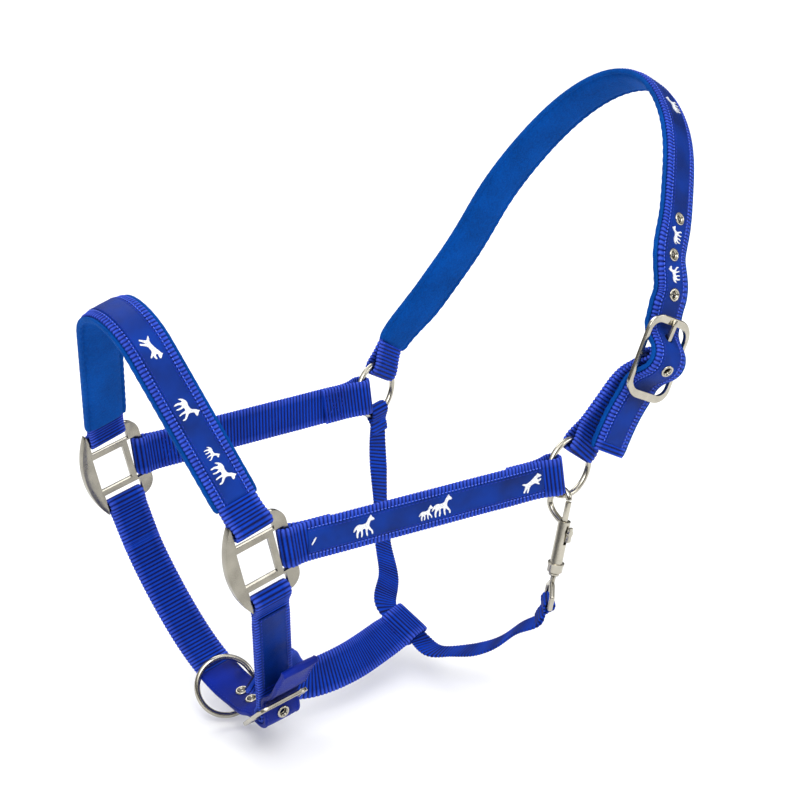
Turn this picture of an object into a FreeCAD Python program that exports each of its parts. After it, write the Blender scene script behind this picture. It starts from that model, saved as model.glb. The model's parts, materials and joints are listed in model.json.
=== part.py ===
import FreeCAD, Part
import math
import os
import Sketcher

Vector = FreeCAD.Vector
doc = FreeCAD.newDocument("head_halter")

# Driving dimensions in millimetres and degrees. The row's origin is under the crest of the
# padded crown strap: -X to the nose, +X to the poll, -Y the near side, +Z up.
DRIVING = {
    "squares_x": -345, "squares_z": -219, "squares_y": 88,
    "square_tilt": 14, "square_plate": 3.4, "crescent_plate": 5,
    "hole_front": -11.2, "hole_rear": 10.8, "hole_half": 11.5,
    "inner_bar": 15.2, "slot_end": 23, "square_edge": 26.5, "rear_slot": 21, "rear_edge": 24.5,
    "webbing_width": 25, "webbing_thick": 2, "ribbon_width": 15, "ribbon_thick": 0.6,
    "pad_width": 29.5, "nose_pad_thick": 4.5, "crown_pad_thick": 3.5, "layer_gap": 0.2,
    "loop_bore": 2.75, "lap_length": 22,
    "nose_lean": 17.2, "nose_height": 116.5, "nose_radius": 38,
    "ring_radius": 18.4, "ring_wire": 1.9, "ring_y": 99.5,
    "near_ring_x": 220, "near_ring_z": 11.4, "near_ring_yaw": 8,
    "far_ring_x": 210.5, "far_ring_z": 6.5, "far_ring_yaw": -16,
    "near_cheek_drop": 1.2, "far_cheek_drop": 1.2, "cheek_slant": 7,
    "crown_lean": 31.7, "crown_foot_x": 225, "crown_foot_z": 25,
    "crown_buckle_x": 272, "crown_buckle_y": -120, "crown_buckle_z": 78, "crown_buckle_lean": 25,
    "crown_frame_half": 27, "frame_half_width": 18.3, "frame_plate": 2.6, "frame_rail": 5,
    "centre_bar": 1.6,
    "chin_frame_half": 20, "chin_buckle_y": -52, "chin_buckle_drop": 98, "chin_buckle_rise": 39,
    "chin_buckle_tilt": 11, "chin_bar_clearance": 0.9,
    "tongue_wire": 1.3, "tongue_slot": 5, "bar_clearance": 0.35,
    "eyelet_hole": 2.5, "eyelet_flange": 4.2, "eyelet_lip": 0.6,
    "throat_width": 15.6, "throat_thick": 1.6,
    "snap_x": 215.6, "snap_y": -99.3, "snap_top_z": -0.1, "snap_wire": 2,
    "hook_half": 7, "barrel_radius": 3.9, "barrel_low": -50, "barrel_high": -21,
    "bolt_radius": 1.9, "bolt_bore": 2, "bolt_travel": 7,
    "eye_half": 10.5, "eye_drop": 16.5, "eye_wire": 1.7,
}
sheet = doc.addObject("Spreadsheet::Sheet", "Sheet")
for row, (alias, value) in enumerate(DRIVING.items(), start=1):
    sheet.set("A%d" % row, alias)
    sheet.set("B%d" % row, str(value))
    sheet.setAlias("B%d" % row, alias)
doc.recompute()


def size(alias):
    return float(sheet.get(alias))


# ---------------------------------------------------------------- directions and places

def tilted(degrees):
    """Forward-to-rear and upward directions of a plane leaning in X and Z."""
    lean = math.radians(degrees)
    rearward = Vector(math.cos(lean), 0, math.sin(lean))
    upward = Vector(-math.sin(lean), 0, math.cos(lean))
    return rearward, upward


def place(x, y, z):
    """A place counted from the middle point between the two squares."""
    return Vector(size("squares_x") + x, y, size("squares_z") + z)


def frame_placement(origin, x_dir, y_dir):
    z_dir = x_dir.cross(y_dir)
    rotation = FreeCAD.Rotation(x_dir, y_dir, z_dir, "ZXY")
    return FreeCAD.Placement(origin, rotation)


SQUARE_REAR, SQUARE_UP = tilted(size("square_tilt"))
NOSE_REAR, NOSE_UP = tilted(size("nose_lean"))
OUTER_BAR = (size("slot_end") + size("square_edge")) / 2
REAR_BAR = (size("rear_slot") + size("rear_edge")) / 2
STRAP_SHIFT = 2.6          # webbing centre line behind the square's centre
ACROSS_Y = Vector(0, 1, 0)


# ---------------------------------------------------------------- sketch helpers

def new_body(name):
    body = doc.addObject("PartDesign::Body", name)
    body.Label = name
    return body


def new_sketch(body, name, plane="XY_Plane", offset=0):
    sketch = body.newObject("Sketcher::SketchObject", name)
    plane_feature = [f for f in body.Origin.OriginFeatures if f.Role == plane][0]
    sketch.AttachmentSupport = [(plane_feature, "")]
    sketch.MapMode = "FlatFace"
    sketch.AttachmentOffset = FreeCAD.Placement(Vector(0, 0, offset), FreeCAD.Rotation())
    return sketch


def draw(sketch, pieces):
    """Draws lines ((a, b)) and arcs ((a, through, b)); points are (x, y) pairs."""
    for piece in pieces:
        points = [Vector(p[0], p[1], 0) for p in piece]
        if len(points) == 2:
            sketch.addGeometry(Part.LineSegment(points[0], points[1]), False)
        else:
            sketch.addGeometry(Part.Arc(points[0], points[1], points[2]), False)


def closed_lines(points):
    return [(points[i], points[(i + 1) % len(points)]) for i in range(len(points))]


def rectangle(x_low, x_high, y_low, y_high):
    return closed_lines([(x_low, y_low), (x_high, y_low), (x_high, y_high), (x_low, y_high)])


def stadium(x, y, angle, half_length, radius):
    """Outline of a round-ended slot centred on x, y and lying along angle (degrees)."""
    turn = math.radians(angle)
    along = (math.cos(turn), math.sin(turn))
    side = (-along[1], along[0])

    def at(a, s):
        return (x + a * along[0] + s * side[0], y + a * along[1] + s * side[1])
    front, back = half_length, -half_length
    return [
        (at(back, radius), at(front, radius)),
        (at(front, radius), at(front + radius, 0), at(front, -radius)),
        (at(front, -radius), at(back, -radius)),
        (at(back, -radius), at(back - radius, 0), at(back, radius)),
    ]


def pad(body, name, pieces, length, slant=0, offset=0):
    """Pads a sketch both ways from its plane; length is a number or an expression."""
    sketch = new_sketch(body, name + "_sketch", offset=offset)
    draw(sketch, pieces)
    feature = body.newObject("PartDesign::Pad", name)
    feature.Profile = sketch
    feature.Midplane = True
    if isinstance(length, str):
        feature.setExpression("Length", length)
    else:
        feature.Length = length
    if slant:
        feature.UseCustomVector = True
        feature.Direction = Vector(-math.tan(math.radians(slant)), 0, 1)
        feature.AlongSketchNormal = True
    sketch.Visibility = False
    return feature


def pocket(body, name, pieces, length=80):
    sketch = new_sketch(body, name + "_sketch")
    draw(sketch, pieces)
    feature = body.newObject("PartDesign::Pocket", name)
    feature.Profile = sketch
    feature.Midplane = True
    if isinstance(length, str):
        feature.setExpression("Length", length)
    else:
        feature.Length = length
    sketch.Visibility = False
    return feature


def strap_loop(body, name, x, y, angle, half_length, width, bore=None, slant=0):
    """The folded end of a strap: a flat ring of webbing round a bar or a wire."""
    bore = size("loop_bore") if bore is None else bore
    outer = stadium(x, y, angle, half_length, bore + size("webbing_thick"))
    inner = stadium(x, y, angle, half_length, bore)
    return pad(body, name, outer + inner, width, slant=slant)


# ---------------------------------------------------------------- noseband (a flat arch)

def nose_arch(outward, start):
    """Outline pieces of one side of the arch, offset outward, with its legs cut at start."""
    crest = size("nose_height")
    radius = size("nose_radius")
    centre = crest - radius
    bar = size("squares_y")
    reach = math.hypot(bar, centre)
    tangent = math.acos(radius / reach) - math.atan2(centre, bar)
    touch = Vector(math.cos(tangent), math.sin(tangent), 0)
    leg = Vector(touch.y, -touch.x, 0)
    on_arc = touch * (radius + outward) + Vector(0, centre, 0)
    foot = Vector(bar, 0, 0) - leg * start + touch * outward
    return on_arc, foot, crest + outward, leg


def arch_outline(outer, inner, start):
    arc_out, foot_out, top_out, _ = nose_arch(outer, start)
    arc_in, foot_in, top_in, _ = nose_arch(inner, start)
    pieces = []
    for side in (1, -1):
        pieces.append(((side * foot_out.x, foot_out.y), (side * arc_out.x, arc_out.y)))
        pieces.append(((side * foot_in.x, foot_in.y), (side * arc_in.x, arc_in.y)))
        pieces.append(((side * foot_out.x, foot_out.y), (side * foot_in.x, foot_in.y)))
    pieces.append(((arc_out.x, arc_out.y), (0, top_out), (-arc_out.x, arc_out.y)))
    pieces.append(((arc_in.x, arc_in.y), (0, top_in), (-arc_in.x, arc_in.y)))
    return pieces


def make_noseband():
    origin = place(0, 0, 0) + SQUARE_REAR * STRAP_SHIFT + SQUARE_UP * OUTER_BAR
    placement = frame_placement(origin, ACROSS_Y, NOSE_UP)
    half = size("webbing_thick") / 2
    gap = size("layer_gap")
    loop_half = 1.2
    loop_end = loop_half + size("loop_bore") + 1

    webbing = new_body("noseband_webbing")
    pad(webbing, "arch", arch_outline(half, -half, loop_end), "Sheet.webbing_width")
    leg = nose_arch(0, 0)[3]
    for side in (1, -1):
        angle = math.degrees(math.atan2(leg.y, side * leg.x))
        strap_loop(webbing, "loop_%s" % ("far" if side > 0 else "near"),
                   side * size("squares_y"), 0, angle, loop_half, "Sheet.webbing_width")
    webbing.Placement = placement

    padding = new_body("noseband_padding")
    inner = half + gap + size("nose_pad_thick")
    pad(padding, "cushion", arch_outline(-half - gap, -inner, 11), "Sheet.pad_width")
    padding.Placement = placement

    ribbon = new_body("noseband_ribbon")
    outer = half + gap + size("ribbon_thick")
    pad(ribbon, "tape", arch_outline(outer, half + gap, 15), "Sheet.ribbon_width")
    ribbon.Placement = placement


# ---------------------------------------------------------------- squares

def make_square(name, y):
    body = new_body(name)
    edge = size("square_edge")
    front = -12.5
    corner = 17
    rear = size("rear_edge")
    outline = [
        ((front, edge), (corner, edge)),
        ((corner, edge), (corner + 5, edge - 3), (rear, corner)),
        ((rear, corner), (rear, -corner)),
        ((rear, -corner), (corner + 5, 3 - edge), (corner, -edge)),
        ((corner, -edge), (front, -edge)),
        ((front, -edge), (-19.5, 0), (front, edge)),
    ]
    pad(body, "plate", outline, "Sheet.square_plate")
    crescent = [
        ((-11.5, 29), (-20.3, 0), (-11.5, -29)),
        ((-11.5, -29), (-10.6, -24)),
        ((-10.6, -24), (-12.4, 0), (-10.6, 24)),
        ((-10.6, 24), (-11.5, 29)),
    ]
    pad(body, "crescent", crescent, "Sheet.crescent_plate")
    hole = size("hole_half")
    pocket(body, "hole", rectangle(size("hole_front"), size("hole_rear"), -hole, hole))
    low, high = size("inner_bar"), size("slot_end")
    for side in (1, -1):
        pocket(body, "slot_%s" % ("top" if side > 0 else "bottom"),
               rectangle(-10.4, 15.8, *sorted((side * low, side * high))))
    pocket(body, "slot_rear", rectangle(14.4, size("rear_slot"), -13.8, 13.8))
    body.Placement = frame_placement(place(0, y, 0), SQUARE_REAR, SQUARE_UP)


# ---------------------------------------------------------------- cheek straps

def cheek_axes(side):
    """Start at the square's rear bar, end at the ring, and the strap's directions."""
    bar = SQUARE_REAR * REAR_BAR - SQUARE_UP * 0.8
    start = place(bar.x, side * size("squares_y"), bar.z)
    drop = size("near_cheek_drop" if side < 0 else "far_cheek_drop")
    end = on_ring(side, 180, size("ring_radius"))[0] - Vector(0, 0, drop)
    along = (end - start).normalize()
    outward = Vector(0, side, 0)
    normal = (outward - along * outward.dot(along)).normalize()
    return start, (end - start).Length, along, normal


def make_cheek(side, prefix):
    start, length, along, normal = cheek_axes(side)
    placement = frame_placement(start, along, normal)
    slant = size("cheek_slant") * (1 if along.cross(normal).z > 0 else -1)
    thick = size("webbing_thick")
    bar_bore, ring_bore = size("loop_bore"), 3.6 if side < 0 else 4.0
    bar_half, ring_half = 1.7, 2.4
    ring_centre = length + 2.5
    # The ring's plane turns away from the strap, so its loop stands a little to one side.
    ring_offset = -0.5 if side < 0 else 1.6
    width = "Sheet.webbing_width"
    body = new_body(prefix + "_webbing")
    first = bar_half + bar_bore + 1
    last = ring_centre - ring_half - ring_bore - 1
    pad(body, "strap", rectangle(first, last, 0, thick), width)
    lap = size("lap_length")
    pad(body, "lap_front", rectangle(first, first + lap, -thick, 0.5), width)
    pad(body, "lap_rear", rectangle(last - lap, last, -thick, 0.5), width)
    strap_loop(body, "loop_front", 0, 0, 0, bar_half, width, slant=slant)
    strap_loop(body, "loop_rear", ring_centre, ring_offset, 0, ring_half, width, bore=ring_bore)
    body.Placement = placement

    tape = new_body(prefix + "_ribbon")
    low = thick + size("layer_gap")
    pad(tape, "tape", rectangle(first + 4, last - 1, low, low + size("ribbon_thick")),
        "Sheet.ribbon_width")
    tape.Placement = placement


# ---------------------------------------------------------------- routed straps

class Route:
    """A strap's centre line through chosen points, with its width direction at each point."""

    def __init__(self, stations):
        self.points = [point for point, _ in stations]
        self.widths = [width for _, width in stations]
        self.curve = Part.BSplineCurve()
        self.curve.interpolate(self.points)
        self.marks = [self.curve.parameter(point) for point in self.points]
        self.length = self.curve.length()

    def axes(self, distance):
        """Point, direction, width direction and outward normal at a distance along the strap."""
        mark = self.curve.parameterAtDistance(distance)
        point = self.curve.value(mark)
        along = Vector(*self.curve.tangent(mark)[0]).normalize()
        width = self.widths[-1]
        for low in range(len(self.marks) - 1):
            if mark <= self.marks[low + 1]:
                share = (mark - self.marks[low]) / (self.marks[low + 1] - self.marks[low])
                share = max(0.0, share)
                width = self.widths[low] * (1 - share) + self.widths[low + 1] * share
                break
        width = (width - along * width.dot(along)).normalize()
        return point, along, width, along.cross(width).normalize()

    def distance_of(self, index):
        return self.curve.length(self.curve.FirstParameter, self.marks[index])

    def solid(self, width, low, high, start, end, step=4.0):
        """The strap's layer between two distances, from low to high along the normal.

        Every layer is bent at the same distances, so layers that lie on each other stay clear.
        """
        bends = [step * mark for mark in range(int(self.length / step) + 1)]
        distances = [start] + [d for d in bends if start + 1 < d < end - 1] + [end]
        sections = []
        for distance in distances:
            point, _, across, normal = self.axes(distance)
            side = across * (width / 2)
            sections.append([point + side + normal * low, point - side + normal * low,
                             point - side + normal * high, point + side + normal * high])
        return flat_sided_solid(sections)


def flat_sided_solid(sections):
    """A closed solid of flat faces through four-cornered sections."""
    faces = [Part.Face(Part.makePolygon(end + end[:1])) for end in (sections[0], sections[-1])]
    for first, second in zip(sections, sections[1:]):
        for corner in range(4):
            following = (corner + 1) % 4
            quad = [first[corner], first[following], second[following], second[corner]]
            off_plane = (quad[1] - quad[0]).cross(quad[3] - quad[0]).normalize().dot(quad[2] - quad[0])
            if abs(off_plane) < 1e-6:
                faces.append(Part.Face(Part.makePolygon(quad + quad[:1])))
            else:
                faces.append(Part.Face(Part.makePolygon([quad[0], quad[1], quad[2], quad[0]])))
                faces.append(Part.Face(Part.makePolygon([quad[0], quad[2], quad[3], quad[0]])))
    shell = Part.makeShell(faces)
    shell.sewShape()
    solid = Part.makeSolid(shell)
    if solid.Volume < 0:
        solid.reverse()
    return solid


def loop_solid(origin, along, width, bore, half_length, strap_width, thick):
    """The folded end of a routed strap, lying along a direction round a bar or wire."""
    normal = along.cross(width).normalize()
    shapes = []
    for radius in (bore + thick, bore):
        edges = []
        for piece in stadium(0, 0, 0, half_length, radius):
            points = [origin + along * p[0] + normal * p[1] - width * (strap_width / 2) for p in piece]
            edges.append(Part.LineSegment(*points).toShape() if len(points) == 2
                         else Part.Arc(*points).toShape())
        face = Part.Face(Part.Wire(edges))
        shapes.append(face.extrude(width * strap_width))
    return shapes[0].cut(shapes[1])


def feature(name, shape):
    obj = doc.addObject("Part::Feature", name)
    obj.Label = name
    obj.Shape = shape
    return obj


def ring_frame(side):
    """Centre and directions of a cheek ring: rearward in its plane, and its axis."""
    name = "near_ring_" if side < 0 else "far_ring_"
    yaw = math.radians(size(name + "yaw"))
    centre = place(size(name + "x"), side * size("ring_y"), size(name + "z"))
    axis = Vector(math.sin(yaw), side * math.cos(yaw), 0)
    rearward = Vector(math.cos(yaw), -side * math.sin(yaw), 0)
    return centre, rearward, axis


def on_ring(side, degrees, radius):
    """A point on a cheek ring's plane and the outward and tangent directions there."""
    centre, rearward, _ = ring_frame(side)
    turn = math.radians(degrees)
    outward = rearward * math.cos(turn) + Vector(0, 0, math.sin(turn))
    tangent = rearward * -math.sin(turn) + Vector(0, 0, math.cos(turn))
    return centre + outward * radius, outward, tangent


# Crown strap: far ring, crest, down the near side, through the buckle, to its tail.
CROWN_LEAN = math.radians(size("crown_lean"))
CROWN_UP = Vector(math.sin(CROWN_LEAN), 0, math.cos(CROWN_LEAN))
CROWN_ACROSS = Vector(math.cos(CROWN_LEAN), 0, -math.sin(CROWN_LEAN))
BUCKLE_LEAN = math.radians(size("crown_buckle_lean"))
BUCKLE_UP = Vector(math.sin(BUCKLE_LEAN), 0, math.cos(BUCKLE_LEAN))
BUCKLE_ACROSS = Vector(math.cos(BUCKLE_LEAN), 0, -math.sin(BUCKLE_LEAN))
BUCKLE_OUT = Vector(0, -1, 0)
CROWN_BUCKLE = place(size("crown_buckle_x"), size("crown_buckle_y"), size("crown_buckle_z"))

CROWN_ARCH = [(98, 42), (91, 64), (85, 86), (81, 108), (78, 130), (72, 152), (63, 174),
              (52, 194), (38, 212), (21, 226), (2, 234), (-18, 234.5), (-38, 226.5), (-56, 213),
              (-72, 194), (-85, 172), (-96, 150), (-105, 129)]
# Past the buckle's rails and over its centre bar: (along the frame, outward).
THROUGH_BUCKLE = [(24.5, -6.4), (19, -5.2), (13.5, -0.5), (9, 5.5), (3.5, 9.4), (-3.5, 9.4),
                  (-9, 5.5), (-13.5, -0.5), (-19, -5.2), (-24.5, -6.4)]


def crown_point(y, rise, sideways=0):
    foot = place(size("crown_foot_x"), 0, size("crown_foot_z"))
    return foot + CROWN_UP * rise + CROWN_ACROSS * sideways + Vector(0, y, 0)


def buckle_point(along, outward, sideways=0):
    return CROWN_BUCKLE + BUCKLE_UP * along + BUCKLE_OUT * outward + BUCKLE_ACROSS * sideways


LOOP_HALF = 3.4            # half the straight length inside a loop that holds a ring
CROWN_RING_ANGLE = 62      # where the crown's far end and its chape hold the cheek rings
CHAPE_RING_ANGLE = 48


def crown_loop_place():
    return on_ring(1, CROWN_RING_ANGLE, size("ring_radius") - LOOP_HALF / 2)


def wall_start(loop_point, outward, half_length, bore, thick):
    """Two points that lead a strap out of the end wall of its folded loop."""
    reach = half_length + bore + thick / 2
    return [loop_point + outward * reach, loop_point + outward * (reach + 4)]


def crown_route():
    loop_point, outward, tangent = crown_loop_place()
    leads = wall_start(loop_point, outward, LOOP_HALF, size("loop_bore"), size("webbing_thick"))
    stations = [(lead, -tangent) for lead in leads]
    stations += [(crown_point(y, rise), CROWN_ACROSS) for y, rise in CROWN_ARCH]
    stations.append((buckle_point(39, -9, 0.5), CROWN_ACROSS + BUCKLE_ACROSS))
    stations.append((buckle_point(33, -8), BUCKLE_ACROSS))
    stations += [(buckle_point(a, n), BUCKLE_ACROSS) for a, n in THROUGH_BUCKLE]
    stations += [(buckle_point(a, n, s), BUCKLE_ACROSS) for a, n, s in
                 [(-34, -8.2, -0.5), (-48, -9.8, -1.2), (-66, -9.8, -2)]]
    return Route(stations)


def tongue_channel():
    """The room round the crown buckle's tongue where it comes through the strap."""
    start = buckle_point(2.2, 0.3)
    end = buckle_point(21, 3.2)
    return Part.makeCylinder(2.9, (end - start).Length, start, end - start)


def crown_faces():
    """How far the crown's padding and ribbon reach from the middle of its webbing."""
    face = size("webbing_thick") / 2 + size("layer_gap")
    return face + size("crown_pad_thick"), face + size("ribbon_thick")


def make_crown():
    route = crown_route()
    thick = size("webbing_thick")
    gap = size("layer_gap")
    half = thick / 2
    inner_face, outer_face = crown_faces()
    cutters = eyelet_holes(route, crown_eyelet_distances(route), inner_face, outer_face)
    cutters.append(tongue_channel())
    webbing = route.solid(size("webbing_width"), -half, half, 0, route.length)
    ring_point, ring_out, ring_tangent = crown_loop_place()
    loop = loop_solid(ring_point, ring_out, ring_tangent, size("loop_bore"), LOOP_HALF,
                      size("webbing_width"), thick)
    feature("crown_webbing", webbing.fuse(loop).cut(cutters))
    padding = route.solid(size("pad_width"), -half - gap - size("crown_pad_thick"), -half - gap,
                          9, route.length - 0.5)
    feature("crown_padding", padding.cut(cutters))
    ribbon = route.solid(size("ribbon_width"), half + gap, half + gap + size("ribbon_thick"),
                         16, route.length - 6)
    feature("crown_ribbon", ribbon.cut(cutters))
    return route


# ---------------------------------------------------------------- eyelets

LAST_ARCH_STATION = 19     # of the crown's route, where it comes down to the buckle
OVER_BAR_STATION = 26      # where it starts to cross the buckle's centre bar


def crown_eyelet_distances(route):
    """Three holes above the buckle and one in the bulge over its centre bar."""
    nearest = route.distance_of(LAST_ARCH_STATION) + 22
    bulge = route.distance_of(OVER_BAR_STATION) + 8
    return [nearest - 49, nearest - 24.5, nearest, bulge]


SEAT_DEPTH = 0.12          # how far an eyelet's seat is pressed into a strap's face
SEAT_GAP = 0.1             # between an eyelet's flange or washer and the strap's layers


def eyelet_holes(route, distances, inner_face, outer_face):
    """Holes for the eyelets, with a flat seat pressed into the layers on each face."""
    reach = 12
    seat = size("eyelet_flange") + 0.4
    holes = []
    for distance in distances:
        point, _, _, normal = route.axes(distance)
        bore = size("eyelet_hole") + 0.8
        holes.append(Part.makeCylinder(bore, 2 * reach, point - normal * reach, normal))
        holes.append(Part.makeCylinder(seat, 3, point + normal * (outer_face - SEAT_DEPTH), normal))
        holes.append(Part.makeCylinder(seat, 3, point - normal * (inner_face - SEAT_DEPTH), normal * -1))
    return holes


def eyelet_solids(route, distances, inner_face, outer_face):
    """Eyelet barrels with an outer lip, and the washers that they are peened over."""
    barrels, washers = [], []
    bore = size("eyelet_hole")
    flange_radius = size("eyelet_flange")
    lip = size("eyelet_lip")
    for distance in distances:
        point, _, _, normal = route.axes(distance)
        outer = point + normal * (outer_face + SEAT_GAP)
        inner = point - normal * (inner_face + SEAT_GAP)
        flange = Part.makeCylinder(flange_radius, lip, outer, normal)
        tube = Part.makeCylinder(bore + 0.5, (outer - inner).Length + 1.5 * lip, outer, normal * -1)
        hollow = Part.makeCylinder(bore, 30, point - normal * 15, normal)
        barrels.append(flange.fuse(tube).cut(hollow))
        washer = Part.makeCylinder(flange_radius, lip, inner, normal * -1)
        washers.append(washer.cut(Part.makeCylinder(bore + 0.55, 30, point - normal * 15, normal)))
    return Part.makeCompound(barrels), Part.makeCompound(washers)


def make_eyelets(prefix, route, distances, inner_face, outer_face, cutter=None):
    barrels, washers = eyelet_solids(route, distances, inner_face, outer_face)
    if cutter is not None:
        barrels = barrels.cut(cutter)
        washers = washers.cut(cutter)
    feature(prefix + "_eyelets", barrels)
    feature(prefix + "_washers", washers)


# ---------------------------------------------------------------- crown chape

# From the ring up to the centre bar: share of the way down, and depth inside the frame.
CHAPE_DEPTHS = [(0.66, 18.4), (0.42, 16), (0.26, 12.6), (0.14, 6.9), (0.05, 2.4)]


def make_chape():
    """The folded strap that holds the crown buckle to the near ring."""
    thick = size("webbing_thick")
    width = size("webbing_width")
    loop_point, outward, tangent = on_ring(-1, CHAPE_RING_ANGLE, size("ring_radius") - LOOP_HALF / 2)
    leads = wall_start(loop_point, outward, LOOP_HALF, size("loop_bore"), thick)
    stations = [(leads[0], -tangent)]
    fall = leads[0] - CROWN_BUCKLE
    for share, depth in CHAPE_DEPTHS:
        point = CROWN_BUCKLE + Vector(fall.x, 0, fall.z) * share - BUCKLE_OUT * depth
        stations.append((point, BUCKLE_ACROSS * (1 - share) - tangent * share))
    route = Route(stations)
    strap = route.solid(width, -thick, thick, 0.3, route.length)
    ring_loop = loop_solid(loop_point, outward, tangent, size("loop_bore"), LOOP_HALF, width, thick)
    bore = size("centre_bar") + size("bar_clearance")
    bar = Part.makeCylinder(bore, 30, CROWN_BUCKLE - BUCKLE_ACROSS * 15, BUCKLE_ACROSS)
    wrap = Part.makeCylinder(bore + thick, width, CROWN_BUCKLE - BUCKLE_ACROSS * (width / 2),
                             BUCKLE_ACROSS)
    slot = centred_box(CROWN_BUCKLE + BUCKLE_UP * 4, BUCKLE_ACROSS, BUCKLE_UP,
                       size("tongue_slot"), 17, 14)
    feature("crown_chape", strap.fuse([ring_loop, wrap]).cut([bar, slot]))


def centred_box(centre, x_dir, y_dir, x_size, y_size, z_size):
    box = Part.makeBox(x_size, y_size, z_size, Vector(-x_size / 2, -y_size / 2, -z_size / 2))
    box.Placement = frame_placement(centre, x_dir, y_dir)
    return box


def make_size_tag():
    """A small blank fabric tag caught in the chape's seam beside the ring."""
    ring_point, ring_out, ring_tangent = on_ring(-1, CHAPE_RING_ANGLE, 27)
    _, _, axis = ring_frame(-1)
    centre = ring_point - ring_tangent * 5 + axis * 5.6 + ring_out * 1
    feature("size_tag", centred_box(centre, ring_tangent, ring_out, 7, 6, 0.5))


# ---------------------------------------------------------------- rings

def make_ring(name, centre, axis):
    ring = doc.addObject("Part::Torus", name)
    ring.Label = name
    ring.setExpression("Radius1", "Sheet.ring_radius")
    ring.setExpression("Radius2", "Sheet.ring_wire")
    ring.Placement = FreeCAD.Placement(centre, FreeCAD.Rotation(Vector(0, 0, 1), axis))
    return ring


def make_lead_ring(chin):
    """The ring round the chin strap that the lead rope is clipped to."""
    point, _, width, normal = chin.axes(chin.distance_of(7) - 6)
    make_ring("lead_ring", point + normal * 4 + width * 2, Vector(-0.3, -0.87, 0.39).normalize())


# ---------------------------------------------------------------- buckles

def make_buckle(name, half_length, centre, up, across):
    """A centre-bar buckle: a flat rounded frame and a round bar across its middle."""
    body = new_body(name)
    half_width = size("frame_half_width")
    rail = size("frame_rail")
    corner = 11 if half_length > 24 else 7
    window_corner = corner - rail + 1
    side_rail = half_width - 2.9

    def rounded(x, y, r):
        bend = r * (1 - math.sqrt(0.5))
        pieces = []
        for sx, sy in ((1, 1), (-1, 1), (-1, -1), (1, -1)):
            first = (sx * x, sy * (y - r))
            middle = (sx * (x - bend), sy * (y - bend))
            last = (sx * (x - r), sy * y)
            pieces.append((first, middle, last))
        pieces.append(((x - r, y), (r - x, y)))
        pieces.append(((-x, y - r), (-x, r - y)))
        pieces.append(((r - x, -y), (x - r, -y)))
        pieces.append(((x, r - y), (x, y - r)))
        return pieces

    outer = rounded(half_width, half_length, corner)
    inner = rounded(side_rail, half_length - rail, window_corner)
    pad(body, "frame", outer + inner, "Sheet.frame_plate")
    bar_sketch = new_sketch(body, "bar_sketch", plane="YZ_Plane")
    bar_sketch.addGeometry(Part.Circle(Vector(0, 0, 0), Vector(0, 0, 1), size("centre_bar")), False)
    bar = body.newObject("PartDesign::Pad", "centre_bar")
    bar.Profile = bar_sketch
    bar.Midplane = True
    bar.Length = 2 * half_width - 3
    doc.recompute()
    rims = []
    for index, edge in enumerate(body.Tip.Shape.Edges, start=1):
        box = edge.BoundBox
        flat = box.ZLength < 0.01 and abs(abs(box.ZMin) - size("frame_plate") / 2) < 0.01
        outside = max(abs(box.XMin), abs(box.XMax)) > half_width - 0.01 or \
            max(abs(box.YMin), abs(box.YMax)) > half_length - 0.01
        if flat and outside:
            rims.append("Edge%d" % index)
    plain_frame = body.Tip
    rounding = body.newObject("PartDesign::Fillet", "rim_round")
    rounding.Base = (plain_frame, rims)
    rounding.Radius = 0.7
    body.Placement = frame_placement(centre, across, up)
    return body


def make_tongue(name, half_length, centre, up, across):
    """A wire tongue: an eye round the centre bar and a prong that lies on the end rail."""
    body = new_body(name)
    bar = size("centre_bar")
    wire = size("tongue_wire")
    bore = bar + 0.08
    eye = bore + 1.5
    rest = size("frame_plate") / 2 + wire + 0.12
    tip = half_length - 1.2
    eye_sketch = new_sketch(body, "eye_sketch", plane="YZ_Plane")
    eye_sketch.addGeometry(Part.Circle(Vector(0, 0, 0), Vector(0, 0, 1), eye), False)
    eye_sketch.addGeometry(Part.Circle(Vector(0, 0, 0), Vector(0, 0, 1), bore), False)
    ring = body.newObject("PartDesign::Pad", "eye")
    ring.Profile = eye_sketch
    ring.Midplane = True
    ring.Length = 2 * wire + 0.6
    prong_sketch = new_sketch(body, "prong_sketch", plane="YZ_Plane")
    outline = [(bore + 0.6, -wire + 0.6), (12, rest - wire - 0.9), (tip - 4, rest - wire),
               (tip, rest - wire + 0.3), (tip, rest + 0.4), (tip - 4, rest + wire),
               (10, rest + wire - 0.6), (bore + 0.6, wire + 0.4)]
    draw(prong_sketch, closed_lines(outline))
    prong = body.newObject("PartDesign::Pad", "prong")
    prong.Profile = prong_sketch
    prong.Midplane = True
    prong.Length = 2 * wire
    body.Placement = frame_placement(centre, across, up)
    return body


# ---------------------------------------------------------------- chin

def chin_point(y, drop, sideways=0):
    origin = place(0, 0, 0) + SQUARE_REAR * (STRAP_SHIFT + sideways) - SQUARE_UP * OUTER_BAR
    return origin + Vector(0, y, 0) - SQUARE_UP * drop


CHIN_RISE = math.radians(size("chin_buckle_rise"))
CHIN_REAR, CHIN_PLANE_UP = tilted(size("chin_buckle_tilt"))
CHIN_UP = Vector(0, -math.cos(CHIN_RISE), 0) + CHIN_PLANE_UP * math.sin(CHIN_RISE)
CHIN_OUT = Vector(0, -math.sin(CHIN_RISE), 0) - CHIN_PLANE_UP * math.cos(CHIN_RISE)
CHIN_BUCKLE = chin_point(size("chin_buckle_y"), size("chin_buckle_drop"))
CHIN_CURVE = [(85.5, 16), (79, 37), (69, 57), (55, 77), (38, 93.5), (21, 103), (3, 108), (-14, 109)]
THROUGH_CHIN = [(-26, -8.0), (-18.5, -5.6), (-14, -3.5), (-9, 1.6), (-3.5, 6.4), (3.5, 6.4),
                (9, 1.6), (14, -3.6), (18.5, -5.7)]


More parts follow.
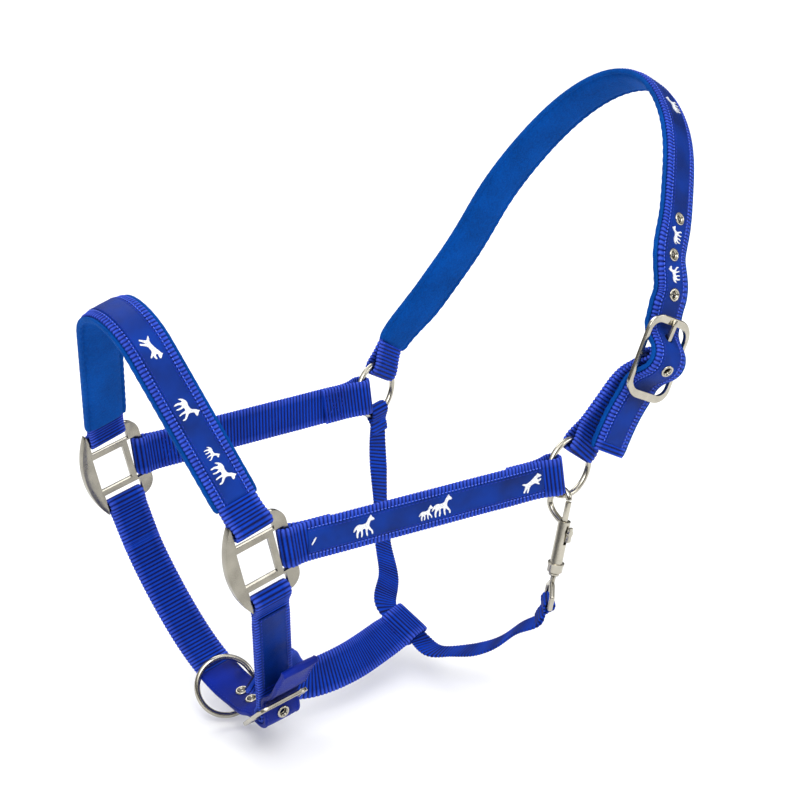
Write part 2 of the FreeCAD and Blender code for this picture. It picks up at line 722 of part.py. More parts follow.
def chin_buckle_point(along, outward, sideways=0):
    return CHIN_BUCKLE + CHIN_UP * along + CHIN_OUT * outward + CHIN_REAR * sideways


BAR_LOOP_HALF = 0.8        # half the straight length inside a loop round a square's bar


def chin_loop_place():
    """Where the far chin strap's loop holds its square's bar, and the way that it leaves."""
    bar_point = chin_point(size("squares_y"), 0)
    leg = (chin_point(*CHIN_CURVE[0]) - bar_point).normalize()
    return bar_point + leg * (BAR_LOOP_HALF - 0.2), leg


def chin_route():
    across = SQUARE_REAR * -1
    loop_point, leg = chin_loop_place()
    leads = wall_start(loop_point, leg, BAR_LOOP_HALF, size("loop_bore"), size("webbing_thick"))
    stations = [(lead, across) for lead in leads[:1]]
    stations += [(chin_point(y, drop), across) for y, drop in CHIN_CURVE]
    frame_across = CHIN_REAR * -1
    stations += [(chin_buckle_point(a, n), frame_across) for a, n in THROUGH_CHIN]
    stations.append((chin_buckle_point(25, -5.2, 1), frame_across))
    stations.append((place(28, -78, -89), across))
    stations.append((place(26, -92, -72), across))
    return Route(stations)


def make_chin():
    """The chin strap, with a smooth cover over its adjusting end, and its eyelets."""
    route = chin_route()
    thick = size("webbing_thick")
    half = thick / 2
    gap = size("layer_gap") + 0.15
    cover = 0.5
    width = size("webbing_width")
    loop_point, leg = chin_loop_place()
    loop = loop_solid(loop_point, leg, SQUARE_REAR * -1, size("loop_bore"), BAR_LOOP_HALF,
                      width + 0.1, thick)
    tongue_start = chin_buckle_point(-2.2, 0.3)
    tongue_end = chin_buckle_point(-20, 3.0)
    tongue_room = Part.makeCylinder(2.8, 17.5, tongue_start, tongue_end - tongue_start)
    distances = [route.distance_of(8) - 6, route.distance_of(8) + 6.5, route.distance_of(14) + 4]
    face = half + gap + cover
    cutters = eyelet_holes(route, distances, face, face)
    cutters.append(tongue_room)
    strap = route.solid(width, -half, half, 0, route.length)
    feature("far_chin_strap", strap.fuse(loop).cut(cutters))
    start = route.distance_of(6)
    inner = route.solid(width, -face, -half - gap, start, route.length)
    outer = route.solid(width, half + gap, face, start, route.length)
    feature("chin_strap_cover", Part.makeCompound([inner.cut(cutters), outer.cut(cutters)]))
    make_eyelets("chin", route, distances, face, face)
    return route


def make_near_chin():
    """The short near chin strap that carries the chin buckle on its lower fold."""
    bar_point = chin_point(-size("squares_y"), 0)
    down = CHIN_BUCKLE - bar_point
    length = down.Length
    along = down.normalize()
    normal = along.cross(SQUARE_REAR).normalize()
    placement = frame_placement(bar_point, along, normal)
    thick = size("webbing_thick")
    bore = size("loop_bore")
    bar_bore = size("centre_bar") + size("chin_bar_clearance")
    body = new_body("near_chin_strap")
    pad(body, "strap", rectangle(0.8 + bore + 1, length - bar_bore - 1, -thick, thick),
        "Sheet.webbing_width")
    strap_loop(body, "loop_top", 0.2, 0, 0, 0.8, "Sheet.webbing_width")
    strap_loop(body, "loop_bottom", length, 0, 0, 0.02, "Sheet.webbing_width", bore=bar_bore)
    pocket(body, "tongue_room", rectangle(length - 9, length + 9, -8, 8), "Sheet.tongue_slot")
    body.Placement = placement

    outward = 1 if normal.y < 0 else -1
    tape = new_body("near_chin_ribbon")
    low, high = sorted((outward * (thick + size("layer_gap")),
                        outward * (thick + size("layer_gap") + size("ribbon_thick"))))
    pad(tape, "tape", rectangle(16, length - 30, low, high), 20)
    tape.Placement = placement


# ---------------------------------------------------------------- jaw and throat straps

JAW_END_WIDTH = Vector(-0.01, -0.865, -0.5)
JAW_LOOP_BORE, JAW_LOOP_HALF = 3.1, 5.5


def near_chin_inner(up_strap, rearward, off):
    """A place beside the inner face of the near chin strap, counted from its buckle."""
    top = chin_point(-size("squares_y"), 0)
    rise = (top - CHIN_BUCKLE).normalize()
    inward = rise.cross(SQUARE_REAR).normalize()
    if inward.y < 0:
        inward = inward * -1
    return CHIN_BUCKLE + rise * up_strap + SQUARE_REAR * rearward + inward * off


def make_jaw():
    """The strap under the jaw: sewn to the near chin strap, looped round the throat strap."""
    thick = size("webbing_thick")
    fall = (CHIN_BUCKLE - chin_point(-size("squares_y"), 0)).normalize()
    slanted = fall * 0.81 - SQUARE_REAR * 0.59
    off = 2 * thick + 1.5
    stations = [(near_chin_inner(33, -10, off), slanted), (near_chin_inner(24, 2, off), slanted),
                (near_chin_inner(17, 13, off + 6), slanted),
                (place(60, -31.5, -117), Vector(-0.1, 0.1, -0.99)),
                (place(93, -29, -119.8), Vector(0, -0.4, -0.9)),
                (place(126, -16, -121.5), Vector(0, -0.7, -0.7)),
                (place(155.5, -4, -121), JAW_END_WIDTH)]
    route = Route(stations)
    strap = route.solid(size("webbing_width"), -thick, thick, 0, route.length)
    point, along, width, _ = route.axes(route.length)
    centre = point + along * (JAW_LOOP_BORE + JAW_LOOP_HALF + thick / 2)
    loop = loop_solid(centre, along, width, JAW_LOOP_BORE, JAW_LOOP_HALF, size("webbing_width"), thick)
    feature("jaw_strap", strap.fuse(loop))
    return centre, along, width


SNAP_UP = Vector(0.155, -0.068, 0.985).normalize()
SNAP_SIDE = Vector(-0.2, 0.98, 0)
SNAP_SIDE = (SNAP_SIDE - SNAP_UP * SNAP_SIDE.dot(SNAP_UP)).normalize()
SNAP_REAR = SNAP_SIDE.cross(SNAP_UP)
SNAP_TOP = place(size("snap_x"), size("snap_y"), size("snap_top_z"))
EYE_ACROSS = Vector(0.52, 0.82, -0.07)
EYE_ACROSS = (EYE_ACROSS - SNAP_UP * EYE_ACROSS.dot(SNAP_UP)).normalize()


def snap_point(up, to_leg=0):
    """A place on the snap: up from the hook's crown, and sideways towards its fixed leg."""
    return SNAP_TOP + SNAP_UP * up + SNAP_SIDE * to_leg


def make_throat(jaw_centre, jaw_along, jaw_width):
    """The narrow throat strap: far ring, jaw strap's loop, snap eye."""
    thick = size("throat_thick")
    width = size("throat_width")
    bore = size("loop_bore")
    ring_half, eye_half, eye_bore = 2.2, 1.4, 2.3
    loop_point, outward, tangent = on_ring(1, 275, size("ring_radius") - 0.9)
    leads = wall_start(loop_point, outward, ring_half, bore, thick)
    eye_bar = eye_bar_point()
    eye_fall = (SNAP_UP * -1 + Vector(-0.12, 0.22, 0)).normalize()
    eye_loop = eye_bar + eye_fall * 1.2
    eye_leads = wall_start(eye_loop, eye_fall, eye_half, eye_bore, thick)
    stations = [(lead, tangent) for lead in leads]
    far_down = [(207.5, 91.5, -49), (200, 78, -74), (189, 58, -93), (176, 34, -105)]
    near_up = [(170, -28, -130.5), (176, -40, -127.5), (183, -57, -121), (191, -73, -110),
               (197, -86, -97)]
    stations.append((place(*far_down[0]), tangent))
    stations += [(place(*spot), Vector(0.85, 0.5, 0)) for spot in far_down[1:]]
    stations += [(jaw_centre - jaw_width * 14.5, jaw_along), (jaw_centre, jaw_along),
                 (jaw_centre + jaw_width * 14.5, jaw_along)]
    turned = Vector(0.8, 0.45, 0.15)
    stations += [(place(*spot), jaw_along) for spot in near_up[:2]]
    stations += [(place(*spot), turned) for spot in near_up[2:]]
    stations += [(eye_leads[0] + eye_fall * 7, EYE_ACROSS), (eye_leads[0], EYE_ACROSS)]
    route = Route(stations)
    strap = route.solid(width, -thick / 2, thick / 2, 0, route.length)
    ring_loop = loop_solid(loop_point, outward, tangent, bore, ring_half, width, thick)
    eye_fold = loop_solid(eye_loop, eye_fall, EYE_ACROSS, eye_bore, eye_half, width, thick)
    low, high = thick / 2 - 0.05, thick * 1.5
    laps = [route.solid(width, low, high, 1, 38),
            route.solid(width, low, high, route.length - 34, route.length - 1)]
    feature("throat_strap", strap.fuse([ring_loop, eye_fold] + laps))


# ---------------------------------------------------------------- snap hook

def barrel_point(up):
    """A place on the axis of the barrel, which stands under the hook's bolt side."""
    return snap_point(up, -size("hook_half"))


def eye_bar_point():
    return barrel_point(size("barrel_low") - 10 - size("eye_drop"))


def make_snap_eye():
    """The swivel eye: a D-shaped loop whose headed stud turns in the snap's collar."""
    wire = size("eye_wire")
    half = size("eye_half")
    bar = eye_bar_point()
    shoulder = size("eye_drop") - 4
    corners = [bar - EYE_ACROSS * half, bar + EYE_ACROSS * half,
               bar + EYE_ACROSS * half + SNAP_UP * shoulder * 0.6, bar + EYE_ACROSS * 3 + SNAP_UP * shoulder,
               bar - EYE_ACROSS * 3 + SNAP_UP * shoulder, bar - EYE_ACROSS * half + SNAP_UP * shoulder * 0.6]
    solids = []
    for index, corner in enumerate(corners):
        nxt = corners[(index + 1) % len(corners)]
        solids.append(Part.makeCylinder(wire, (nxt - corner).Length, corner, nxt - corner))
        solids.append(Part.makeSphere(wire, corner))
    neck_base = bar + SNAP_UP * (shoulder - 0.5)
    low = size("barrel_low")
    stud_length = (barrel_point(low + 2.2) - neck_base).Length
    stud = Part.makeCylinder(1.7, stud_length, neck_base, SNAP_UP)
    head = Part.makeCylinder(2.7, 1.6, barrel_point(low + 2.2), SNAP_UP)
    foot = Part.makeCylinder(3.4, 2.0, barrel_point(low - 7.5), SNAP_UP)
    feature("snap_eye", solids[0].fuse(solids[1:] + [stud, head, foot]).removeSplitter())


KNOB_UP = -27.5            # the thumb knob's place along the barrel with the bolt closed


def make_snap():
    """Hook and barrel in one casting, its sprung bolt with a thumb knob, and the spring."""
    wire = size("snap_wire")
    half = size("hook_half")
    top = -wire
    low, high = size("barrel_low"), size("barrel_high")
    path = [snap_point(high - 1, 2.2 - half), snap_point(high + 2.6, half - 4),
            snap_point(-13.5, half - 0.2), snap_point(-9, half - 0.1),
            snap_point(-4.4, half - 1.9), snap_point(top, 0.4), snap_point(-3.4, -half + 2.4),
            snap_point(-7, -half + 0.1)]
    spine = Part.BSplineCurve()
    spine.interpolate(path)
    hook = Part.Wire(spine.toShape()).makePipeShell(
        [Part.Wire(Part.Circle(path[0], Vector(*spine.tangent(spine.FirstParameter)[0]), wire).toShape())],
        True, True)
    barrel = Part.makeCylinder(size("barrel_radius"), high - low, barrel_point(low), SNAP_UP)
    collar = Part.makeCylinder(4.9, 5.2, barrel_point(low - 5), SNAP_UP)
    rib = Part.makeCylinder(5.3, 1.4, barrel_point(low - 0.6), SNAP_UP)
    bore = Part.makeCylinder(size("bolt_bore") + 0.05, high - low + 8, barrel_point(low + 5.5), SNAP_UP)
    chamber = Part.makeCylinder(3.0, 5.6, barrel_point(low + 1.4), SNAP_UP)
    stud_hole = Part.makeCylinder(1.85, 12, barrel_point(low - 8), SNAP_UP)
    travel = size("bolt_travel")
    slot = centred_box(barrel_point(KNOB_UP - travel / 2) - SNAP_SIDE * 3.5, SNAP_REAR, SNAP_UP,
                       3.0, travel + 2.8, 7)
    feature("snap_body", barrel.fuse([hook, collar, rib]).cut([bore, chamber, stud_hole, slot]))


BOLT_TIP = -8.3            # just under the hook's point
BOLT_FOOT = 15.5           # above the barrel's lower end


def make_bolt():
    """The sprung bolt that closes the hook, with the knob that pulls it down."""
    low = size("barrel_low")
    foot = low + BOLT_FOOT
    outward = SNAP_SIDE * -1
    rod = Part.makeCylinder(size("bolt_radius"), BOLT_TIP - foot, barrel_point(foot), SNAP_UP)
    stem = Part.makeCylinder(1.1, 5.2, barrel_point(KNOB_UP), outward)
    knob = Part.makeCylinder(2.3, 1.6, barrel_point(KNOB_UP) + outward * 5.0, outward)
    thumb = centred_box(barrel_point(KNOB_UP - 1) + outward * 5.6, SNAP_REAR, SNAP_UP, 3.0, 9.5, 1.8)
    feature("snap_bolt", rod.fuse([stem, knob, thumb]).removeSplitter())


def make_spring():
    """The bolt's coil spring, between the bolt's foot and the floor of the barrel."""
    low = size("barrel_low")
    start, end = low + 7.6, low + 15.2
    helix = Part.makeHelix(1.25, end - start, 1.35)
    profile = Part.Wire(Part.Circle(Vector(1.35, 0, 0), Vector(0, 1, 0), 0.28).toShape())
    coil = Part.Wire(helix).makePipeShell([profile], True, True)
    obj = feature("snap_spring", coil)
    rotation = FreeCAD.Rotation(Vector(0, 0, 1), SNAP_UP)
    obj.Placement = FreeCAD.Placement(barrel_point(start), rotation)


# ---------------------------------------------------------------- build

def main():
    os.makedirs("parts", exist_ok=True)
    make_noseband()
    make_square("near_square", -size("squares_y"))
    make_square("far_square", size("squares_y"))
    make_cheek(-1, "near_cheek")
    make_cheek(1, "far_cheek")
    crown = make_crown()
    channel = tongue_channel()
    inner_face, outer_face = crown_faces()
    make_eyelets("crown", crown, crown_eyelet_distances(crown), inner_face, outer_face, channel)
    make_chape()
    make_size_tag()
    for side, name in ((-1, "near_cheek_ring"), (1, "far_cheek_ring")):
        centre, _, axis = ring_frame(side)
        make_ring(name, centre, axis)
    chin = make_chin()
    make_near_chin()
    make_lead_ring(chin)
    make_buckle("crown_buckle_frame", size("crown_frame_half"), CROWN_BUCKLE, BUCKLE_UP, BUCKLE_ACROSS)
    make_tongue("crown_buckle_tongue", size("crown_frame_half"), CROWN_BUCKLE, BUCKLE_UP, BUCKLE_ACROSS)
    make_buckle("chin_buckle_frame", size("chin_frame_half"), CHIN_BUCKLE, CHIN_UP, CHIN_REAR)
    make_tongue("chin_buckle_tongue", size("chin_frame_half"), CHIN_BUCKLE, CHIN_UP * -1,
                CHIN_REAR * -1)
    make_throat(*make_jaw())
    make_snap_eye()
    make_snap()
    make_bolt()
    make_spring()
    doc.recompute()
    export()


def export():
    for obj in doc.Objects:
        bad = [state for state in obj.State if state in ("Invalid", "Error")]
        if bad:
            raise RuntimeError("%s is %s" % (obj.Label, bad))
    for obj in doc.Objects:
        is_node = obj.TypeId in ("PartDesign::Body", "Part::Feature", "Part::Torus")
        if not is_node:
            continue
        shape = obj.Shape
        if shape.isNull() or not shape.isValid():
            raise RuntimeError(obj.Label + " has no valid shape")
        shape.exportStep("parts/%s.step" % obj.Label)


main()
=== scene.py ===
"""Head halter: the looks of its straps, padding, ribbons and nickel fittings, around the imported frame."""
import json
import math
import bmesh
import bpy
import numpy as np
from bpy.props import FloatProperty, FloatVectorProperty, PointerProperty
from mathutils import Matrix, Vector
from mathutils.geometry import tessellate_polygon


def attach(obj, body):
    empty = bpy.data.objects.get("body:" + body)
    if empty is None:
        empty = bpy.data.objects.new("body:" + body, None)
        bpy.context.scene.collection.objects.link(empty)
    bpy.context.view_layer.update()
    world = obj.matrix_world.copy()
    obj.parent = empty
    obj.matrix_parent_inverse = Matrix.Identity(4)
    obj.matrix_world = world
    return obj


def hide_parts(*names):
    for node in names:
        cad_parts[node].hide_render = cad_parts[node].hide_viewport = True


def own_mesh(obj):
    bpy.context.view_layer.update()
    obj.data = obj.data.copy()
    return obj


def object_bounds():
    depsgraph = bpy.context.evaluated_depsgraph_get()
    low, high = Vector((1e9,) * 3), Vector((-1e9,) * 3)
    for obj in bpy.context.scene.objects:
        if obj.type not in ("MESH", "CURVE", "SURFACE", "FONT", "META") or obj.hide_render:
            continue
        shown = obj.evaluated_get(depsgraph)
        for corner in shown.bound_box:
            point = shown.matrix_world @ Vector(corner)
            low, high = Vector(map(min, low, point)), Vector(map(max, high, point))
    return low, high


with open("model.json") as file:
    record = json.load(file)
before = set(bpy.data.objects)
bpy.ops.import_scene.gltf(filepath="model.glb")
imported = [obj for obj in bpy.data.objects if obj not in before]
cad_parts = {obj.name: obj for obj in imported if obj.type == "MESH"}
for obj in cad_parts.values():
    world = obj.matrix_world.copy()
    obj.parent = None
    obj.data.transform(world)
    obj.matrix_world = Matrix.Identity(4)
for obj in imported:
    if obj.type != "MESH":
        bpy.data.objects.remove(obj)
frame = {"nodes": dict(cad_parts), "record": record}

bl_info = {
    "name": "Head halter",
    "version": (1, 0, 0),
    "blender": (4, 5, 0),
    "location": "3D View > Sidebar > Halter",
    "description": "Builds a padded head halter's straps, ribbons, stitching and fittings",
    "category": "Add Mesh",
}

MM = 0.001
CAD_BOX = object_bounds()
OWNER = {node: body for body, nodes in frame["record"]["behaviour"]["bodies"].items() for node in nodes}


# ---------------------------------------------------------------- sizes and colours

def millimetres(name, words, value):
    return FloatProperty(name=name, description=words + ", mm", default=value, min=0)


class HalterSizes(bpy.types.PropertyGroup):
    """Sizes of the webbing, ribbons and stitches."""
    webbing_width: millimetres("Webbing width", "Width of the main webbing", 25)
    webbing_thick: millimetres("Webbing thickness", "Thickness of one layer", 2)
    throat_width: millimetres("Throat width", "Width of the throat webbing", 15.6)
    rib_pitch: millimetres("Rib pitch", "Length of one woven rib", 2.5)
    rib_height: millimetres("Rib height", "Height of a woven rib", 0.55)
    ribbon_width: millimetres("Ribbon width", "Width of the satin ribbon", 15.2)
    chin_ribbon_width: millimetres("Chin ribbon width", "Width of the near chin strap's ribbon", 19)
    stitch_length: millimetres("Stitch length", "Length of one stitch", 2.1)
    stitch_step: millimetres("Stitch step", "Distance from stitch to stitch", 2.9)
    thread: millimetres("Thread", "Thickness of the thread", 0.55)


def colour(name, words, value):
    return FloatVectorProperty(name=name, description=words, default=value, size=3, subtype="COLOR",
                               min=0, max=1)


class HalterColours(bpy.types.PropertyGroup):
    """Colours of the fabrics and metal."""
    webbing: colour("Webbing", "Royal blue nylon", (0.0008, 0.016, 0.27))
    webbing_crest: colour("Webbing crest", "Where a rib catches the light", (0.003, 0.056, 0.56))
    ribbon: colour("Ribbon", "Navy satin", (0.0004, 0.022, 0.19))
    padding: colour("Padding", "Brushed fleece cover", (0.0004, 0.052, 0.27))
    motif: colour("Motif", "Silver-white embroidery", (0.78, 0.80, 0.86))
    thread: colour("Thread", "Blue sewing thread", (0.004, 0.025, 0.36))
    edge_thread: colour("Edge thread", "Lilac-blue overlocking thread", (0.08, 0.15, 0.74))
    nickel: colour("Nickel", "Nickel plate", (0.44, 0.415, 0.35))


# ---------------------------------------------------------------- directions and places, in millimetres

def vec(*values):
    return np.array(values, dtype=float)


def unit(vector):
    return vector / np.linalg.norm(vector)


def place(x, y, z):
    """A place counted from the middle point between the two squares."""
    return vec(x - 345, y, z - 219)


def tilted(degrees):
    lean = math.radians(degrees)
    return vec(math.cos(lean), 0, math.sin(lean)), vec(-math.sin(lean), 0, math.cos(lean))


SQUARE_REAR, SQUARE_UP = tilted(14)
NOSE_REAR, NOSE_UP = tilted(17.2)
OUTER_BAR, REAR_BAR = 24.75, 22.75
STRAP_SHIFT = 2.6
SQUARES_Y = 88
LOOP_BORE = 2.75
RING_RADIUS = 18.4
RING_Y = 99.5
RINGS = {-1: (220, 11.4, 8), 1: (210.5, 6.5, -16)}


def on_ring(side, degrees, radius=RING_RADIUS):
    """A point on a cheek ring's plane, and the outward and tangent directions there."""
    x, z, yaw = RINGS[side]
    turn, around = math.radians(yaw), math.radians(degrees)
    rearward = vec(math.cos(turn), -side * math.sin(turn), 0)
    outward = rearward * math.cos(around) + vec(0, 0, math.sin(around))
    tangent = rearward * -math.sin(around) + vec(0, 0, math.cos(around))
    return place(x, side * RING_Y, z) + outward * radius, outward, tangent


# ---------------------------------------------------------------- strips: centre lines with a width direction

def natural_spline(points, fine):
    """Points every fine millimetres on the smooth curve through the stations, and their marks."""
    chord = np.linalg.norm(np.diff(points, axis=0), axis=1)
    marks = np.concatenate([[0], np.cumsum(chord)])
    count = len(points)
    system, target = np.eye(count), np.zeros_like(points)
    for i in range(1, count - 1):
        before, after = chord[i - 1], chord[i]
        system[i, i - 1:i + 2] = (before, 2 * (before + after), after)
        target[i] = 6 * ((points[i + 1] - points[i]) / after - (points[i] - points[i - 1]) / before)
    bend = np.linalg.solve(system, target)
    where = np.linspace(0, marks[-1], int(marks[-1] / fine) + 2)
    low = np.clip(np.searchsorted(marks, where, side="right") - 1, 0, count - 2)
    span = chord[low][:, None]
    left = (marks[low + 1] - where)[:, None]
    right = (where - marks[low])[:, None]
    curve = (bend[low] * left ** 3 + bend[low + 1] * right ** 3) / (6 * span)
    curve += (points[low] / span - bend[low] * span / 6) * left
    curve += (points[low + 1] / span - bend[low + 1] * span / 6) * right
    return curve, where, marks


class Strip:
    """A strap's centre line through stations (point, width direction)."""

    def __init__(self, stations, skewed=False, fine=0.2):
        points = np.array([point for point, _ in stations])
        widths = np.array([unit(width) for _, width in stations])
        curve, where, marks = natural_spline(points, fine)
        travelled = np.concatenate([[0], np.cumsum(np.linalg.norm(np.diff(curve, axis=0), axis=1))])
        along = np.gradient(curve, axis=0)
        along /= np.linalg.norm(along, axis=1)[:, None]
        width = np.stack([np.interp(where, marks, widths[:, k]) for k in range(3)], axis=1)
        lean = np.sum(width * along, axis=1)[:, None]
        square = width - along * lean
        size = np.linalg.norm(square, axis=1)[:, None]
        self.width = width / size if skewed else square / size
        self.normal = np.cross(along, square / size)
        self.points, self.travelled = curve, travelled
        self.marks = np.interp(marks, where, travelled)
        self.length = travelled[-1]

    def frames(self, distances):
        """Points, width directions and outward normals at these distances along the strip."""
        rows = [np.stack([np.interp(distances, self.travelled, table[:, k]) for k in range(3)], axis=1)
                for table in (self.points, self.width, self.normal)]
        return rows

    def spot(self, distance, across=0.0, out=0.0):
        point, width, normal = (row[0] for row in self.frames(np.array([distance])))
        return point + width * across + normal * out, width, normal

    def stations(self, start, end, out, spacing=9):
        """Stations on a layer that lies beside this strip."""
        count = max(2, int(abs(end - start) / spacing) + 1)
        found = []
        for distance in np.linspace(start, end, count):
            point, width, _ = self.spot(distance, 0, out)
            found.append((point, width))
        return found


def fold(centre, away, normal, width, half, bore, thick, main_out, lap_out, lap):
    """Stations from a lap's cut end, round a bar or ring, to where the strap leaves the fold.

    away points from the bar towards the strap, and normal is the strap's outward side.
    """
    radius = bore + thick / 2
    reach = half + radius + 6
    flat = [(reach + lap, lap_out), (reach + lap / 2, lap_out), (reach, lap_out),
            (half + radius * 0.35, lap_out * 0.45 - radius * 0.55)]
    around = [(-half - radius * math.cos(math.radians(a)), radius * math.sin(math.radians(a)))
              for a in (-90, -45, 0, 45, 90)]
    leave = [(half + radius * 0.35, main_out * 0.45 + radius * 0.55), (reach, main_out)]
    return [(centre + away * a + normal * n, width) for a, n in flat + around + leave]


# ---------------------------------------------------------------- meshes

def new_object(name, verts, faces, scale=MM):
    mesh = bpy.data.meshes.new(name)
    mesh.from_pydata([tuple(float(c) * scale for c in v) for v in verts], [], faces)
    mesh.validate()
    obj = bpy.data.objects.new(name, mesh)
    bpy.context.scene.collection.objects.link(obj)
    return obj


def ring_faces(rings, around):
    """Quads between neighbouring rings, and a cap at each end."""
    faces = []
    for i in range(rings - 1):
        for j in range(around):
            k = (j + 1) % around
            faces.append((i * around + j, i * around + k, (i + 1) * around + k, (i + 1) * around + j))
    faces.append(tuple(range(around))[::-1])
    faces.append(tuple((rings - 1) * around + j for j in range(around)))
    return faces


def sweep(name, strip, section, start, end, step):
    """Carries a section along a strip. The section gives across and out, ring by ring."""
    distances = np.linspace(start, end, max(2, int(round((end - start) / step))) + 1)
    points, widths, normals = strip.frames(distances)
    across, out = section(distances, start, end)
    verts = (points[:, None] + widths[:, None] * across[..., None] + normals[:, None] * out[..., None])
    rings, around = across.shape
    obj = new_object(name, verts.reshape(-1, 3), ring_faces(rings, around))
    mesh = obj.data
    uv = mesh.uv_layers.new(name="cloth")
    corner = np.empty(len(mesh.loops), dtype=np.int32)
    mesh.loops.foreach_get("vertex_index", corner)
    flat = np.stack([np.repeat(distances, around), across.reshape(-1)], axis=1)
    uv.data.foreach_set("uv", flat[corner].astype(np.float32).ravel())
    point_outwards(obj)
    mesh.shade_smooth()
    return obj


def point_outwards(obj):
    work = bmesh.new()
    work.from_mesh(obj.data)
    if work.calc_volume(signed=True) < 0:
        bmesh.ops.reverse_faces(work, faces=work.faces)
    work.to_mesh(obj.data)
    work.free()


def settle(obj):
    """Turns an object and its modifiers into one plain mesh."""
    graph = bpy.context.evaluated_depsgraph_get()
    mesh = bpy.data.meshes.new_from_object(obj.evaluated_get(graph))
    obj.modifiers.clear()
    old = obj.data
    obj.data = mesh
    mesh.name = obj.name
    if old.users == 0:
        bpy.data.meshes.remove(old)
    return obj


def join(name, objects):
    """One piece from several: the first keeps its place and takes the others in."""
    bpy.ops.object.select_all(action="DESELECT")
    for obj in objects:
        obj.select_set(True)
    bpy.context.view_layer.objects.active = objects[0]
    bpy.ops.object.join()
    objects[0].name = name
    return objects[0]


def rod(start, end, radius, sides=28):
    """A closed round rod, used to punch holes."""
    axis = unit(end - start)
    helper = vec(1, 0, 0) if abs(axis[0]) < 0.8 else vec(0, 1, 0)
    first = unit(np.cross(axis, helper))
    second = np.cross(axis, first)
    verts = []
    for foot in (start, end):
        for k in range(sides):
            turn = 2 * math.pi * k / sides
            verts.append(foot + (first * math.cos(turn) + second * math.sin(turn)) * radius)
    obj = new_object("punch", verts, ring_faces(2, sides))
    point_outwards(obj)
    return obj


def punch(obj, punches):
    """Cuts these closed shapes out of a piece, and removes them."""
    for tool in punches:
        cut = obj.modifiers.new("cut", "BOOLEAN")
        cut.operation = "DIFFERENCE"
        cut.solver = "EXACT"
        cut.object = tool
        settle(obj)
        bpy.data.objects.remove(tool, do_unlink=True)
    return obj


# ---------------------------------------------------------------- sections

def rib_wave(distances, pitch):
    return np.abs(np.sin(np.pi * distances / pitch)) ** 0.7 - 0.62


def webbing_section(width, thick, pitch, height, shift=0.0):
    """Ribbed webbing: ribs cross it, and its selvedges are thinner and knobbly."""
    across = vec(-1, -0.975, -0.90, -0.72, -0.36, 0, 0.36, 0.72, 0.90, 0.975, 1) * width / 2
    thin = vec(0.30, 0.74, 0.95, 1, 1, 1, 1, 1, 0.95, 0.74, 0.30)

    def section(distances, start, end):
        wave = rib_wave(distances, pitch)[:, None]
        top = thick / 2 * thin + wave * height * thin
        low = -thick / 2 * thin[::-1] - wave * height * thin[::-1]
        side = np.where(np.abs(across) > 0.96 * width / 2, np.sign(across), 0) * wave * 0.45
        wide = across + side + shift
        return np.hstack([wide, wide[:, ::-1]]), np.hstack([top, low])
    return section


def tape_section(width, low, high, bow=0.12):
    """Thin smooth tape between two heights, a little bowed, with tucked ends."""
    across = vec(-1, -0.97, -0.85, -0.45, 0, 0.45, 0.85, 0.97, 1) * width / 2
    fill = vec(0.15, 0.72, 1, 1 + bow, 1 + bow * 1.6, 1 + bow, 1, 0.72, 0.15)

    def section(distances, start, end):
        near = np.minimum(distances - start, end - distances)
        rise = np.clip(near / 0.8, 0.2, 1)[:, None]
        top = low + (high - low) * fill * rise
        base = np.full_like(top, low)
        wide = np.repeat(across[None], len(distances), axis=0)
        return np.hstack([wide, wide[:, ::-1]]), np.hstack([top, base])
    return section


def padding_section(width, near_face, thick, seed):
    """A soft pad under a strap: crowned inner face, sewn-down seams near both edges, rounded ends."""
    share = vec(-1, -0.985, -0.94, -0.87, -0.82, -0.77, -0.68, -0.5, -0.25, 0, 0.25, 0.5, 0.68, 0.77,
                0.82, 0.87, 0.94, 0.985, 1)
    crown = vec(0.20, 0.46, 0.62, 0.56, 0.44, 0.60, 0.80, 0.93, 0.99, 1.0, 0.99, 0.93, 0.80, 0.60,
                0.44, 0.56, 0.62, 0.46, 0.20)
    outer = vec(0.10, 0.30, 0.28, 0.1, 0.02, 0, 0, 0, 0, 0, 0, 0, 0, 0, 0.02, 0.1, 0.28, 0.30, 0.10)
    dice = np.random.default_rng(seed)
    phases, lengths = dice.uniform(0, 6.28, 5), dice.uniform(13, 47, 5)

    def section(distances, start, end):
        near = np.minimum(distances - start, end - distances)
        close = np.clip(near / 5.0, 0.02, 1)
        rounded = np.sqrt(1 - (1 - close) ** 2)[:, None]
        soft = sum(np.sin(distances / length * 6.28 + phase) for phase, length in zip(phases, lengths))
        pucker = np.sin(distances / 3.1 * math.pi)[:, None] * 0.035 * (np.abs(share) > 0.7)
        depth = thick * (crown + pucker + 0.018 * soft[:, None] * (1 - share ** 2)) * (0.35 + 0.65 * rounded)
        lift = thick * outer * 0.9
        inner = near_face - depth
        side = share * width / 2 * (0.90 + 0.10 * rounded) + np.sign(share) * pucker * 1.2
        top = np.repeat((near_face + lift)[None], len(distances), axis=0)
        return np.hstack([side, side[:, ::-1]]), np.hstack([top, inner[:, ::-1]])
    return section


# ---------------------------------------------------------------- materials

